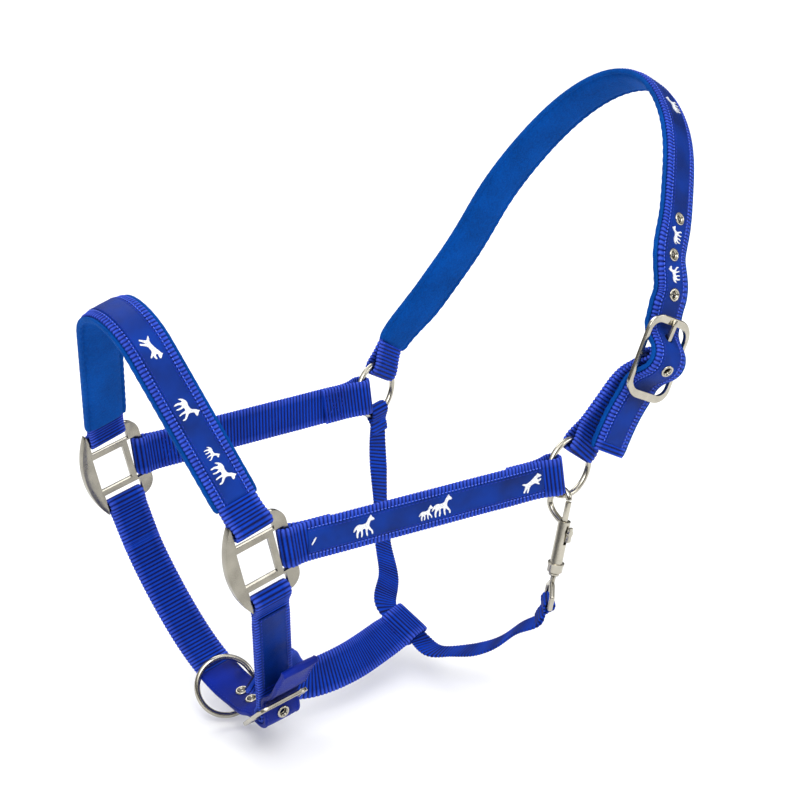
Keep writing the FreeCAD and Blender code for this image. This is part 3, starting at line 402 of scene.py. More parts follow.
class Paint:
    """A material under construction: its nodes and links by plain calls."""

    def __init__(self, name):
        self.material = bpy.data.materials.new(name)
        self.material.use_nodes = True
        self.tree = self.material.node_tree
        self.shader = self.tree.nodes["Principled BSDF"]

    def node(self, kind, **values):
        node = self.tree.nodes.new(kind)
        for key, value in values.items():
            if key in node.inputs:
                node.inputs[key].default_value = value
            else:
                setattr(node, key, value)
        return node

    def link(self, output, target):
        self.tree.links.new(output, target)

    def math(self, operation, first, second=None):
        node = self.tree.nodes.new("ShaderNodeMath")
        node.operation = operation
        for socket, value in zip(node.inputs, (first, second)):
            if value is None:
                continue
            if isinstance(value, (int, float)):
                socket.default_value = value
            else:
                self.link(value, socket)
        return node.outputs[0]

    def mix(self, factor, first, second):
        node = self.tree.nodes.new("ShaderNodeMix")
        node.data_type = "RGBA"
        self.link(factor, node.inputs["Factor"])
        for name, value in (("A", first), ("B", second)):
            socket = [s for s in node.inputs if s.name == name and s.type == "RGBA"][0]
            if isinstance(value, tuple):
                socket.default_value = value + (1,)
            else:
                self.link(value, socket)
        return [s for s in node.outputs if s.type == "RGBA"][0]

    def ramp(self, value, low, high):
        node = self.tree.nodes.new("ShaderNodeMapRange")
        node.inputs["From Min"].default_value = low
        node.inputs["From Max"].default_value = high
        self.link(value, node.inputs["Value"])
        return node.outputs["Result"]

    def noise(self, scale, detail=4, vector=None):
        node = self.node("ShaderNodeTexNoise", Scale=scale, Detail=detail)
        if vector is None:
            vector = self.tree.nodes.new("ShaderNodeTexCoord").outputs["Object"]
        self.link(vector, node.inputs["Vector"])
        return node.outputs["Fac"]

    def cloth(self):
        """The cloth map: millimetres along and across the strap."""
        node = self.tree.nodes.new("ShaderNodeUVMap")
        node.uv_map = "cloth"
        split = self.tree.nodes.new("ShaderNodeSeparateXYZ")
        self.link(node.outputs[0], split.inputs[0])
        return split.outputs[0], split.outputs[1]

    def bump(self, height, strength, distance):
        node = self.node("ShaderNodeBump", Strength=strength, Distance=distance)
        self.link(height, node.inputs["Height"])
        self.link(node.outputs[0], self.shader.inputs["Normal"])


def shades(value, factor):
    return tuple(min(1.0, c * factor) for c in value)


def webbing_material(name, base, crest, pitch):
    """Woven nylon: fine yarns run along the strap and show as twill over each rib. Each rib's crest gets a
    painted highlight and the gap between ribs gets painted shade.
    """
    paint = Paint(name)
    along, across = paint.cloth()
    rib = paint.math("ABSOLUTE", paint.math("SINE", paint.math("MULTIPLY", along, math.pi / pitch)))
    yarn = paint.math("SINE", paint.math("MULTIPLY", across, 2 * math.pi / 0.62))
    slant = paint.math("ADD", paint.math("MULTIPLY", along, 2.2), paint.math("MULTIPLY", across, 7.5))
    twill = paint.math("SINE", slant)
    patch = paint.noise(55, 3)
    # edge: mask for both sides of the strap, where the ribs get a lighter lilac painted highlight
    edge = paint.ramp(paint.math("ABSOLUTE", across), 7.4, 12.0)
    # light: painted light and shade along each rib, bright on the crest and dark in the gap, with random
    # patches and the real twill pattern added
    light = paint.math("MULTIPLY", rib, paint.math("ADD", paint.math("MULTIPLY", patch, 0.5), 0.6))
    light = paint.math("ADD", light, paint.math("MULTIPLY", twill, 0.12))
    # painted shade in the gaps between ribs (the base colour at 0.18) and a painted highlight on the crests
    woven = paint.mix(paint.ramp(light, 0.25, 1.05), shades(base, 0.18), crest)
    # near the edges: painted shade between the ribs and a lilac painted highlight on their crests
    edge_rib_light_and_shade = paint.mix(paint.ramp(light, 0.15, 1.0), shades(base, 0.5), (0.05, 0.11, 0.70))
    paint.link(paint.mix(edge, woven, edge_rib_light_and_shade), paint.shader.inputs["Base Color"])
    height = paint.math("ADD", paint.math("MULTIPLY", yarn, 0.5), paint.math("MULTIPLY", twill, 0.7))
    height = paint.math("ADD", height, paint.noise(1400, 2))
    paint.bump(height, 0.5, 0.00016)
    paint.link(paint.ramp(light, -1.2, 1.6), paint.shader.inputs["Roughness"])
    paint.shader.inputs["Sheen Weight"].default_value = 0.06
    paint.shader.inputs["Sheen Roughness"].default_value = 0.4
    paint.shader.inputs["Sheen Tint"].default_value = (0.1, 0.25, 1, 1)
    paint.shader.inputs["Specular IOR Level"].default_value = 0.10
    return paint.material


def satin_material(name, base):
    """Satin ribbon: a faint weft, soft gloss, and slow patches of painted light and shade, as where satin
    waves.
    """
    paint = Paint(name)
    along, across = paint.cloth()
    weft = paint.math("SINE", paint.math("MULTIPLY", along, 2 * math.pi / 0.45))
    warp = paint.math("SINE", paint.math("MULTIPLY", across, 2 * math.pi / 0.5))
    # wave: noise mask for painted light and shade on the flat ribbon, from 0.62 to 1.55 times its colour
    wave = paint.ramp(paint.noise(38, 3), 0.3, 0.72)
    paint.link(paint.mix(wave, shades(base, 0.62), shades(base, 1.55)), paint.shader.inputs["Base Color"])
    height = paint.math("ADD", paint.math("MULTIPLY", weft, 0.6), paint.math("MULTIPLY", warp, 0.3))
    height = paint.math("ADD", height, paint.math("MULTIPLY", paint.noise(160, 3), 4.0))
    paint.bump(height, 0.35, 0.00012)
    paint.link(paint.ramp(wave, -1.6, 2.4), paint.shader.inputs["Roughness"])
    paint.shader.inputs["Specular IOR Level"].default_value = 0.12
    return paint.material


def fleece_material(name, base):
    """Brushed cover: short fibres that soften every edge, with faint pressed patches."""
    paint = Paint(name)
    fibre = paint.noise(900, 6)
    patch = paint.noise(45, 4)
    blend = paint.math("ADD", paint.math("MULTIPLY", fibre, 0.6), paint.math("MULTIPLY", patch, 0.5))
    paint.link(paint.mix(paint.ramp(blend, 0.3, 0.8), shades(base, 0.55), shades(base, 1.45)),
               paint.shader.inputs["Base Color"])
    paint.bump(blend, 0.75, 0.0007)
    paint.link(paint.ramp(fibre, -2.0, 1.1), paint.shader.inputs["Roughness"])
    paint.shader.inputs["Sheen Weight"].default_value = 0.15
    paint.shader.inputs["Sheen Roughness"].default_value = 0.55
    paint.shader.inputs["Sheen Tint"].default_value = (0.05, 0.3, 1, 1)
    paint.shader.inputs["Specular IOR Level"].default_value = 0.05
    return paint.material


def thread_material(name, base, gloss=0.4):
    paint = Paint(name)
    twist = paint.noise(1800, 2)
    paint.link(paint.mix(paint.ramp(twist, 0.3, 0.7), shades(base, 0.6), shades(base, 1.25)),
               paint.shader.inputs["Base Color"])
    paint.bump(twist, 0.4, 0.0002)
    paint.link(paint.ramp(twist, -1.0, 1.0 / gloss), paint.shader.inputs["Roughness"])
    paint.shader.inputs["Specular IOR Level"].default_value = 0.2
    return paint.material


def nickel_material(name, base, rough=0.2, wear=0.5):
    """Nickel plate: bright, a little cloudy, with fine handling marks."""
    paint = Paint(name)
    cloud = paint.noise(90, 5)
    fine = paint.noise(700, 3)
    paint.link(paint.mix(paint.ramp(cloud, 0.3, 0.75), shades(base, 1.12), shades(base, 0.80)),
               paint.shader.inputs["Base Color"])
    marks = paint.math("ADD", paint.math("MULTIPLY", cloud, 0.7), paint.math("MULTIPLY", fine, 0.3))
    level = paint.math("ADD", paint.math("MULTIPLY", marks, wear * 0.3), rough - 0.06)
    paint.link(level, paint.shader.inputs["Roughness"])
    paint.bump(marks, 0.12, 0.0003)
    paint.shader.inputs["Metallic"].default_value = 1.0
    return paint.material


def tag_material(name):
    paint = Paint(name)
    weave = paint.noise(1500, 2)
    paint.link(paint.mix(weave, (0.72, 0.72, 0.70), (0.92, 0.92, 0.90)), paint.shader.inputs["Base Color"])
    paint.bump(weave, 0.4, 0.0002)
    paint.shader.inputs["Roughness"].default_value = 0.8
    return paint.material


MATERIALS = {}


def materials():
    """Every finish of the halter, made once."""
    if MATERIALS:
        return MATERIALS
    scene = bpy.context.scene
    sizes, tints = scene.halter_sizes, scene.halter_colours
    blue, crest = tuple(tints.webbing), tuple(tints.webbing_crest)
    MATERIALS.update(
        webbing=webbing_material("ribbed_webbing", blue, crest, sizes.rib_pitch),
        ribbon=satin_material("navy_satin", tuple(tints.ribbon)),
        sleeve=satin_material("smooth_chin_tape", shades(blue, 0.75)),
        fleece=fleece_material("brushed_padding", tuple(tints.padding)),
        motif=thread_material("silver_embroidery", tuple(tints.motif), 0.8),
        thread=thread_material("blue_thread", tuple(tints.thread)),
        edge=thread_material("lilac_thread", tuple(tints.edge_thread)),
        nickel=nickel_material("nickel_plate", tuple(tints.nickel)),
        cast=nickel_material("cast_nickel", shades(tuple(tints.nickel), 0.66), 0.18, 0.9),
        spring=nickel_material("drawn_spring_wire", (0.6, 0.6, 0.6), 0.3, 0.4),
        tag=tag_material("blank_tag_tape"),
    )
    return MATERIALS


def finish_piece(obj, material, body="halter", replaces=()):
    """Gives a piece its material and its CAD body, and hides the nodes that it stands for."""
    obj.data.materials.clear()
    obj.data.materials.append(materials()[material])
    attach(obj, body)
    if replaces:
        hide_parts(*replaces)
    return obj


# ---------------------------------------------------------------- the straps' routes

def cheek_strips(side):
    """The cheek strap's whole strip with both folds, its line from bar to ring, and its length."""
    bar = SQUARE_REAR * REAR_BAR - SQUARE_UP * 0.8
    start = place(bar[0], side * SQUARES_Y, bar[2])
    end = on_ring(side, 180)[0] - vec(0, 0, 1.2)
    length = np.linalg.norm(end - start)
    along = unit(end - start)
    outward = vec(0, side, 0)
    normal = unit(outward - along * outward.dot(along))
    width = np.cross(normal, along)
    lean = math.tan(math.radians(7)) * (1 if np.cross(along, normal)[2] > 0 else -1)
    bar_width = width + along * lean
    ring_offset, ring_bore = (-0.5, 3.6) if side < 0 else (1.6, 4.0)
    ring_centre = start + along * (length + 2.5) + normal * ring_offset
    front = fold(start, along, normal, bar_width, 1.7, LOOP_BORE, 2, 1, -1, 18)
    rear = fold(ring_centre, -along, normal, bar_width, 2.4, ring_bore, 2, 1 - ring_offset,
                -1 - ring_offset, 18)
    middle = [(start + along * x + normal, width) for x in np.linspace(24, length - 24, 7)]
    strip = Strip(front + middle + rear[::-1], skewed=True)
    line = Strip([(start + along * x, width) for x in np.linspace(0, length, 9)])
    return strip, line, length


def nose_arch_stations(out):
    """Stations of the noseband's arch from the near square to the far one, offset outward."""
    crest, radius = 116.5, 38
    middle = crest - radius
    reach = math.hypot(SQUARES_Y, middle)
    touch = math.acos(radius / reach) - math.atan2(middle, SQUARES_Y)
    unit_touch = vec(math.cos(touch), math.sin(touch))
    leg = vec(unit_touch[1], -unit_touch[0])
    foot = vec(SQUARES_Y, 0)
    leg_length = np.linalg.norm(unit_touch * radius + vec(0, middle) - foot)
    half = [foot - leg * d + unit_touch * out for d in np.linspace(14, leg_length - 2, 8)]
    arc = [vec(math.cos(a), math.sin(a)) * (radius + out) + vec(0, middle)
           for a in np.linspace(touch + 0.12, math.pi / 2, 7)]
    far_side = half + arc
    near_side = [vec(-p[0], p[1]) for p in far_side[:-1]]
    return near_side + far_side[::-1], leg


def nose_place(flat):
    origin = place(0, 0, 0) + SQUARE_REAR * STRAP_SHIFT + SQUARE_UP * OUTER_BAR
    return origin + vec(0, 1, 0) * flat[0] + NOSE_UP * flat[1]


def nose_strips():
    """The noseband with its folds round the squares' top bars, and its line between them."""
    width = NOSE_REAR * -1
    flats, leg = nose_arch_stations(0)
    line = [(nose_place(flat), width) for flat in flats]
    ends = []
    for side in (-1, 1):
        away = vec(0, 1, 0) * (side * -leg[0]) + NOSE_UP * -leg[1]
        outward = np.cross(away if side < 0 else -away, width)
        bar = nose_place(vec(side * SQUARES_Y, 0))
        ends.append(fold(bar, away, outward, width, 1.2, LOOP_BORE, 2, 0, -1.9, 3))
    return Strip(ends[0] + line[1:-1] + ends[1][::-1]), Strip(line)


CROWN_LEAN = math.radians(31.7)
CROWN_UP = vec(math.sin(CROWN_LEAN), 0, math.cos(CROWN_LEAN))
CROWN_ACROSS = vec(math.cos(CROWN_LEAN), 0, -math.sin(CROWN_LEAN))
BUCKLE_LEAN = math.radians(25)
BUCKLE_UP = vec(math.sin(BUCKLE_LEAN), 0, math.cos(BUCKLE_LEAN))
BUCKLE_ACROSS = vec(math.cos(BUCKLE_LEAN), 0, -math.sin(BUCKLE_LEAN))
BUCKLE_OUT = vec(0, -1, 0)
CROWN_BUCKLE = place(272, -120, 78)
CROWN_ARCH = [(98, 42), (91, 64), (85, 86), (81, 108), (78, 130), (72, 152), (63, 174),
              (52, 194), (38, 212), (21, 226), (2, 234), (-18, 234.5), (-38, 226.5), (-56, 213),
              (-72, 194), (-85, 172), (-96, 150), (-105, 129)]
THROUGH_BUCKLE = [(24.5, -6.4), (19, -5.2), (13.5, -0.5), (9, 5.5), (3.5, 9.4), (-3.5, 9.4),
                  (-9, 5.5), (-13.5, -0.5), (-19, -5.2), (-24.5, -6.4)]
TAIL = [(-34, -8.2, -0.5), (-48, -9.8, -1.2), (-66, -9.8, -2)]
RING_HOLD = 3.4            # half the straight length of a fold that holds a ring


def crown_point(y, rise):
    return place(225, 0, 25) + CROWN_UP * rise + vec(0, y, 0)


def buckle_point(along, out, sideways=0.0):
    return CROWN_BUCKLE + BUCKLE_UP * along + BUCKLE_OUT * out + BUCKLE_ACROSS * sideways


def leads(centre, away, half, bore, thick):
    reach = half + bore + thick / 2
    return [centre + away * reach, centre + away * (reach + 4)]


def crown_strips():
    """The crown's strip with its fold round the far ring, and the line that its layers follow."""
    centre, outward, tangent = on_ring(1, 62, RING_RADIUS - RING_HOLD / 2)
    run = [(crown_point(y, rise), CROWN_ACROSS) for y, rise in CROWN_ARCH]
    run.append((buckle_point(39, -9, 0.5), CROWN_ACROSS + BUCKLE_ACROSS))
    run.append((buckle_point(33, -8), BUCKLE_ACROSS))
    run += [(buckle_point(a, n), BUCKLE_ACROSS) for a, n in THROUGH_BUCKLE]
    run += [(buckle_point(*spot), BUCKLE_ACROSS) for spot in TAIL]
    start = [(p, -tangent) for p in leads(centre, outward, RING_HOLD, LOOP_BORE, 2)]
    line = Strip(start + run)
    width = -tangent
    outer = np.cross(outward, width)
    turned = fold(centre, outward, outer, width, RING_HOLD, LOOP_BORE, 2, 0, -1.9, 3)
    return Strip(turned + run), line


def crown_holes(line):
    nearest = line.marks[19] + 22
    return [nearest - 49, nearest - 24.5, nearest, line.marks[26] + 8]


CHAPE_DEPTHS = [(0.66, 18.4), (0.42, 16), (0.26, 12.6), (0.14, 6.9), (0.05, 2.4)]


def chape_strip():
    """The folded strap from the near ring, round the crown buckle's bar and back."""
    centre, outward, tangent = on_ring(-1, 48, RING_RADIUS - RING_HOLD / 2)
    lead = leads(centre, outward, RING_HOLD, LOOP_BORE, 2)[0]
    fall = lead - CROWN_BUCKLE
    spots = [(lead, -tangent)]
    for share, depth in CHAPE_DEPTHS:
        point = CROWN_BUCKLE + vec(fall[0], 0, fall[2]) * share - BUCKLE_OUT * depth
        spots.append((point, BUCKLE_ACROSS * (1 - share) - tangent * share))
    middle = Strip(spots)
    return doubled(middle, centre, outward, RING_HOLD, LOOP_BORE, CROWN_BUCKLE, 1.95, 2), middle


def doubled(middle, ring_centre, ring_away, half, bore, bar_centre, bar_bore, thick):
    """One strip that lies double along a line, folded round a ring at its start and a bar at its end."""
    out = thick / 2 + 0.04
    outer = middle.stations(5, middle.length - 3.5, out)
    inner = middle.stations(middle.length - 3.5, 5, -out)
    _, first_width, first_normal = middle.spot(0)
    radius = bore + thick / 2
    ring = []
    for degrees in (-90, -45, 0, 45, 90):
        a = -half - radius * math.cos(math.radians(degrees))
        n = radius * math.sin(math.radians(degrees))
        ring.append((ring_centre + ring_away * a + first_normal * n, first_width))
    _, last_width, last_normal = middle.spot(middle.length)
    last_along = np.cross(last_width, last_normal)
    radius = bar_bore + thick / 2
    bar = []
    for degrees in (60, 20, -20, -60):
        turn = math.radians(degrees)
        bar.append((bar_centre + last_along * (radius * math.cos(turn))
                    + last_normal * (radius * math.sin(turn)), last_width))
    return Strip(inner + ring + outer + bar + inner[:1])


def chin_point(y, drop):
    origin = place(0, 0, 0) + SQUARE_REAR * STRAP_SHIFT - SQUARE_UP * OUTER_BAR
    return origin + vec(0, y, 0) - SQUARE_UP * drop


CHIN_RISE = math.radians(39)
CHIN_REAR, CHIN_PLANE_UP = tilted(11)
CHIN_UP = vec(0, -math.cos(CHIN_RISE), 0) + CHIN_PLANE_UP * math.sin(CHIN_RISE)
CHIN_OUT = vec(0, -math.sin(CHIN_RISE), 0) - CHIN_PLANE_UP * math.cos(CHIN_RISE)
CHIN_BUCKLE = chin_point(-52, 98)
CHIN_CURVE = [(85.5, 16), (79, 37), (69, 57), (55, 77), (38, 93.5), (21, 103), (3, 108), (-14, 109)]
THROUGH_CHIN = [(-26, -8.0), (-18.5, -5.6), (-14, -3.5), (-9, 1.6), (-3.5, 6.4), (3.5, 6.4),
                (9, 1.6), (14, -3.6), (18.5, -5.7)]


def chin_buckle_point(along, out, sideways=0.0):
    return CHIN_BUCKLE + CHIN_UP * along + CHIN_OUT * out + CHIN_REAR * sideways


def chin_strips():
    """The far chin strap with its fold round the far square's bar, and its line."""
    across = SQUARE_REAR * -1
    bar = chin_point(SQUARES_Y, 0)
    leg = unit(chin_point(*CHIN_CURVE[0]) - bar)
    centre = bar + leg * 0.6
    start = [(leads(centre, leg, 0.8, LOOP_BORE, 2)[0], across)]
    run = [(chin_point(y, drop), across) for y, drop in CHIN_CURVE]
    run += [(chin_buckle_point(a, n), CHIN_REAR * -1) for a, n in THROUGH_CHIN]
    run.append((chin_buckle_point(25, -5.2, 1), CHIN_REAR * -1))
    run.append((place(28, -78, -89), across))
    run.append((place(26, -92, -72), across))
    turned = fold(centre, leg, np.cross(leg, across), across, 0.8, LOOP_BORE, 2, 0, -1.9, 20)
    return Strip(turned + run[1:]), Strip(start + run)


def near_chin_strip():
    """The near chin strap: double from the square's bottom bar to the chin buckle's bar."""
    bar = chin_point(-SQUARES_Y, 0)
    down = CHIN_BUCKLE - bar
    along = unit(down)
    length = np.linalg.norm(down)
    width = SQUARE_REAR
    middle = Strip([(bar + along * x, width) for x in np.linspace(4.5, length - 3.5, 8)])
    return doubled(middle, bar + along * 0.2, along, 0.8, LOOP_BORE, CHIN_BUCKLE, 2.5, 2), middle


def near_chin_inner(up_strap, rearward, off):
    rise = unit(chin_point(-SQUARES_Y, 0) - CHIN_BUCKLE)
    inward = unit(np.cross(rise, SQUARE_REAR))
    if inward[1] < 0:
        inward = -inward
    return CHIN_BUCKLE + rise * up_strap + SQUARE_REAR * rearward + inward * off


JAW_WIDTH = vec(-0.01, -0.865, -0.5)
JAW_BORE, JAW_HALF = 3.1, 5.5


def jaw_strips():
    """The jaw strap's double strip, and where its loop holds the throat strap."""
    fall = unit(CHIN_BUCKLE - chin_point(-SQUARES_Y, 0))
    slanted = fall * 0.81 - SQUARE_REAR * 0.59
    off = 5.5
    spots = [(near_chin_inner(33, -10, off), slanted), (near_chin_inner(24, 2, off), slanted),
             (near_chin_inner(17, 13, off + 6), slanted),
             (place(60, -31.5, -117), vec(-0.1, 0.1, -0.99)),
             (place(93, -29, -119.8), vec(0, -0.4, -0.9)),
             (place(126, -16, -121.5), vec(0, -0.7, -0.7)),
             (place(155.5, -4, -121), JAW_WIDTH)]
    middle = Strip(spots)
    point, width, normal = middle.spot(middle.length)
    along = np.cross(width, normal)
    centre = point + along * (JAW_BORE + JAW_HALF + 1)
    out = 1.04
    radius = JAW_BORE + 1
    loop = []
    for a, degrees in ((-JAW_HALF, 90), (0, 90), (JAW_HALF, 90), (JAW_HALF, 45), (JAW_HALF, 0),
                       (JAW_HALF, -45), (JAW_HALF, -90), (0, -90), (-JAW_HALF, -90)):
        turn = math.radians(degrees)
        spot = centre + along * (a + radius * math.cos(turn)) + normal * (radius * math.sin(turn))
        loop.append((spot, width))
    outer = middle.stations(1, middle.length - 1, out)
    inner = middle.stations(middle.length - 1, 1, -out)
    return Strip(outer + loop + inner), middle, centre, along, width


SNAP_UP = unit(vec(0.155, -0.068, 0.985))
SNAP_SIDE = vec(-0.2, 0.98, 0)
SNAP_SIDE = unit(SNAP_SIDE - SNAP_UP * SNAP_SIDE.dot(SNAP_UP))
EYE_ACROSS = vec(0.52, 0.82, -0.07)
EYE_ACROSS = unit(EYE_ACROSS - SNAP_UP * EYE_ACROSS.dot(SNAP_UP))
EYE_BAR = place(215.6, -99.3, -0.1) - SNAP_SIDE * 7 - SNAP_UP * 76.5
THROAT_THICK = 1.6


def throat_strips(jaw_centre, jaw_along, jaw_width):
    """The throat strap with its folds at the far ring and the snap's eye, and its line."""
    ring_centre, outward, tangent = on_ring(1, 275, RING_RADIUS - 0.9)
    fall = unit(SNAP_UP * -1 + vec(-0.12, 0.22, 0))
    eye = EYE_BAR + fall * 1.2
    run = [(place(207.5, 91.5, -49), tangent)]
    run += [(place(*spot), vec(0.85, 0.5, 0)) for spot in
            ((200, 78, -74), (189, 58, -93), (176, 34, -105))]
    run += [(jaw_centre + jaw_width * d, jaw_along) for d in (-14.5, 0, 14.5)]
    run += [(place(*spot), jaw_along) for spot in ((170, -28, -130.5), (176, -40, -127.5))]
    turned = vec(0.8, 0.45, 0.15)
    run += [(place(*spot), turned) for spot in ((183, -57, -121), (191, -73, -110), (197, -86, -97))]
    ring_leads = [(p, tangent) for p in leads(ring_centre, outward, 2.2, LOOP_BORE, THROAT_THICK)]
    eye_lead = leads(eye, fall, 1.4, 2.3, THROAT_THICK)[0]
    last = (eye_lead + fall * 7, EYE_ACROSS)
    line = Strip(ring_leads + run + [last, (eye_lead, EYE_ACROSS)])
    top = fold(ring_centre, outward, np.cross(outward, tangent), tangent, 2.2, LOOP_BORE,
               THROAT_THICK, 0, 1.7, 3)
    end = fold(eye, fall, np.cross(-fall, EYE_ACROSS), EYE_ACROSS, 1.4, 2.3, THROAT_THICK, 0, 1.7, 3)
    return Strip(top + run + end[::-1]), line


# ---------------------------------------------------------------- operators

class HALTER_OT_webbing(bpy.types.Operator):
    """Weave the noseband, cheek, crown, chape, chin, jaw and throat straps"""
    bl_idname = "halter.webbing"
    bl_label = "Webbing straps"

    def execute(self, context):
        sizes = context.scene.halter_sizes
        pitch, height = sizes.rib_pitch, sizes.rib_height
        ribbed = webbing_section(sizes.webbing_width, sizes.webbing_thick, pitch, height)
        narrow = webbing_section(sizes.throat_width, THROAT_THICK, pitch * 0.9, height * 0.8)
        step = pitch / 6

        def weave(name, strip, node, section=ribbed, start=0.0, end=None):
            piece = sweep(name, strip, section, start, strip.length if end is None else end, step)
            return piece, node

        crown, crown_line = crown_strips()
        chin, chin_line = chin_strips()
        jaw, _, jaw_centre, jaw_along, jaw_width = jaw_strips()
        throat, _ = throat_strips(jaw_centre, jaw_along, jaw_width)
        chape, _ = chape_strip()
        sleeve_start = chin.length - (chin_line.length - chin_line.marks[6]) + 6
        near_chin, _ = near_chin_strip()

        def weave_slotted(name, strip, node):
            """A doubled strap, split in two where its fold leaves room for the buckle's tongue."""
            first, last = 4.5, strip.length - 15
            half = sizes.webbing_width / 2
            parts = [sweep(name, strip, ribbed, first, last, step)]
            for side in (-1, 1):
                narrow_side = webbing_section(half - 2.6, sizes.webbing_thick, pitch, height,
                                              side * (half + 2.6) / 2)
                parts.append(sweep(name, strip, narrow_side, 0, first, step))
                parts.append(sweep(name, strip, narrow_side, last, strip.length, step))
            return join(name, parts), node

        pieces = [
            weave("noseband_strap", nose_strips()[0], "noseband_webbing"),
            weave("near_cheek_strap", cheek_strips(-1)[0], "near_cheek_webbing"),
            weave("far_cheek_strap", cheek_strips(1)[0], "far_cheek_webbing"),
            weave("crown_strap", crown, "crown_webbing"),
            weave_slotted("crown_buckle_strap", chape, "crown_chape"),
            weave("far_chin_strap_web", chin, "far_chin_strap", end=sleeve_start),
            weave_slotted("near_chin_strap_web", near_chin, "near_chin_strap"),
            weave("jaw_strap_web", jaw, "jaw_strap"),
            weave("throat_strap_web", throat, "throat_strap", narrow),
        ]
        made = {node: piece for piece, node in pieces}
        punch(made["crown_webbing"], crown_punches(crown_line))
        for piece, node in pieces:
            finish_piece(piece, "webbing", replaces=(node,))
        return {"FINISHED"}


def crown_punches(line):
    """The eyelet holes and the tongue's room through the crown's layers."""
    rods = []
    for distance in crown_holes(line):
        point, _, normal = line.spot(distance)
        rods.append(rod(point - normal * 9, point + normal * 9, 2.9))
    rods.append(rod(buckle_point(2.2, 0.3), buckle_point(21, 3.2), 2.9))
    return rods


def chin_holes(line):
    return [line.marks[8] - 6, line.marks[8] + 6.5, line.marks[14] + 4]


PAD_WIDTH = 29.5


class HALTER_OT_padding(bpy.types.Operator):
    """Make the soft pads inside the noseband and crown"""
    bl_idname = "halter.padding"
    bl_label = "Padding"

    def execute(self, context):
        nose = nose_strips()[1]
        crown = crown_strips()[1]
        face = -1.2
        pad = sweep("noseband_pad", nose, padding_section(PAD_WIDTH, face, 4.5, 3), 0, nose.length, 1.0)
        finish_piece(pad, "fleece", replaces=("noseband_padding",))
        pad = sweep("crown_pad", crown, padding_section(PAD_WIDTH, face, 3.5, 8), 9, crown.length - 0.5, 1.0)
        punch(pad, crown_punches(crown))
        finish_piece(pad, "fleece", replaces=("crown_padding",))
        return {"FINISHED"}


def ribbon_lines():
    """Each ribbon: name, the strip that it lies on, its ends, and the height of its underside."""
    nose = nose_strips()[1]
    crown = crown_strips()[1]
    near, near_length = cheek_strips(-1)[1:]
    far, far_length = cheek_strips(1)[1:]
    chin = near_chin_strip()[1]
    return {
        "noseband_ribbon": (nose, 1.5, nose.length - 1.5, 1.25, 1),
        "near_cheek_ribbon": (near, 11, near_length - 4.5, 2.25, 1),
        "far_cheek_ribbon": (far, 11, far_length - 4.5, 2.25, 1),
        "crown_ribbon": (crown, 16, crown.length - 6, 1.25, 1),
        "near_chin_ribbon": (chin, 9, chin.length - 22, 2.25, 1),
    }


class HALTER_OT_ribbons(bpy.types.Operator):
    """Lay the satin ribbons and the chin strap's smooth sleeve"""
    bl_idname = "halter.ribbons"
    bl_label = "Ribbons and sleeve"

    def execute(self, context):
        sizes = context.scene.halter_sizes
        for name, (strip, start, end, low, side) in ribbon_lines().items():
            width = sizes.chin_ribbon_width if name == "near_chin_ribbon" else sizes.ribbon_width
            section = tape_section(width, low * side, (low + 0.6) * side)
            piece = sweep(name + "_satin", strip, section, start, end, 1.0)
            if name == "crown_ribbon":
                punch(piece, crown_punches(strip))
            finish_piece(piece, "ribbon", replaces=(name,))
        self.sleeve()
        return {"FINISHED"}

    def sleeve(self):
        """The smooth tube sewn over the chin strap's adjusting end, with a thicker bound end."""
        line = chin_strips()[1]
        start, end = line.marks[6], line.length
        share = vec(-1, -0.985, -0.95, -0.86, -0.5, 0, 0.5, 0.86, 0.95, 0.985, 1)
        fill = vec(0.30, 0.72, 0.95, 0.86, 0.98, 1.02, 0.98, 0.86, 0.95, 0.72, 0.30)

        def section(distances, first, last):
            swell = 1 + 0.55 * np.exp(-((distances - last + 2.2) / 1.6) ** 2)
            round_off = np.sqrt(np.clip((last - distances) / 1.6, 0.04, 1))
            top = 1.65 * (swell * round_off)[:, None] * fill
            side = np.repeat((share * 12.7)[None], len(distances), axis=0)
            return np.hstack([side, side[:, ::-1]]), np.hstack([top, -top[:, ::-1]])

        piece = sweep("chin_sleeve", line, section, start, end, 0.8)
        rods = []
        for distance in chin_holes(line):
            point, _, normal = line.spot(distance)
            rods.append(rod(point - normal * 6, point + normal * 6, 2.9))
        rods.append(rod(chin_buckle_point(-2.2, 0.3), chin_buckle_point(-19.8, 3.0), 2.8))
        punch(piece, rods)
        finish_piece(piece, "sleeve", replaces=("chin_strap_cover",))


# Outlines of the woven motifs in millimetres, facing the strap's start: muzzle first, then over
# the back to the tail, and forward again along the legs.
STANDING = [(-6.8, 4.6), (-5.5, 5.7), (-5.0, 7.1), (-4.3, 6.1), (-2.9, 4.6), (-2.1, 2.7), (0.4, 2.1),
            (2.6, 2.7), (4.3, 2.2), (5.9, 0.8), (6.7, -1.4), (5.4, -0.4), (4.5, 0.5), (4.1, -0.8),
            (4.8, -2.5), (4.5, -5.2), (3.7, -5.2), (3.7, -2.7), (2.5, -1.0), (2.0, -1.2), (1.5, -2.8),
            (1.9, -5.2), (1.1, -5.2), (0.6, -2.8), (0.9, -0.5), (-1.2, -0.5), (-1.3, -2.8),
            (-1.8, -5.3), (-2.6, -5.3), (-2.2, -2.8), (-2.6, -0.9), (-3.5, -1.9), (-5.0, -3.2),
            (-5.0, -4.8), (-5.8, -4.8), (-5.9, -2.9), (-4.4, -1.0), (-3.5, 0.5), (-3.7, 2.0),
            (-4.5, 3.6), (-6.0, 3.5), (-7.0, 3.8)]
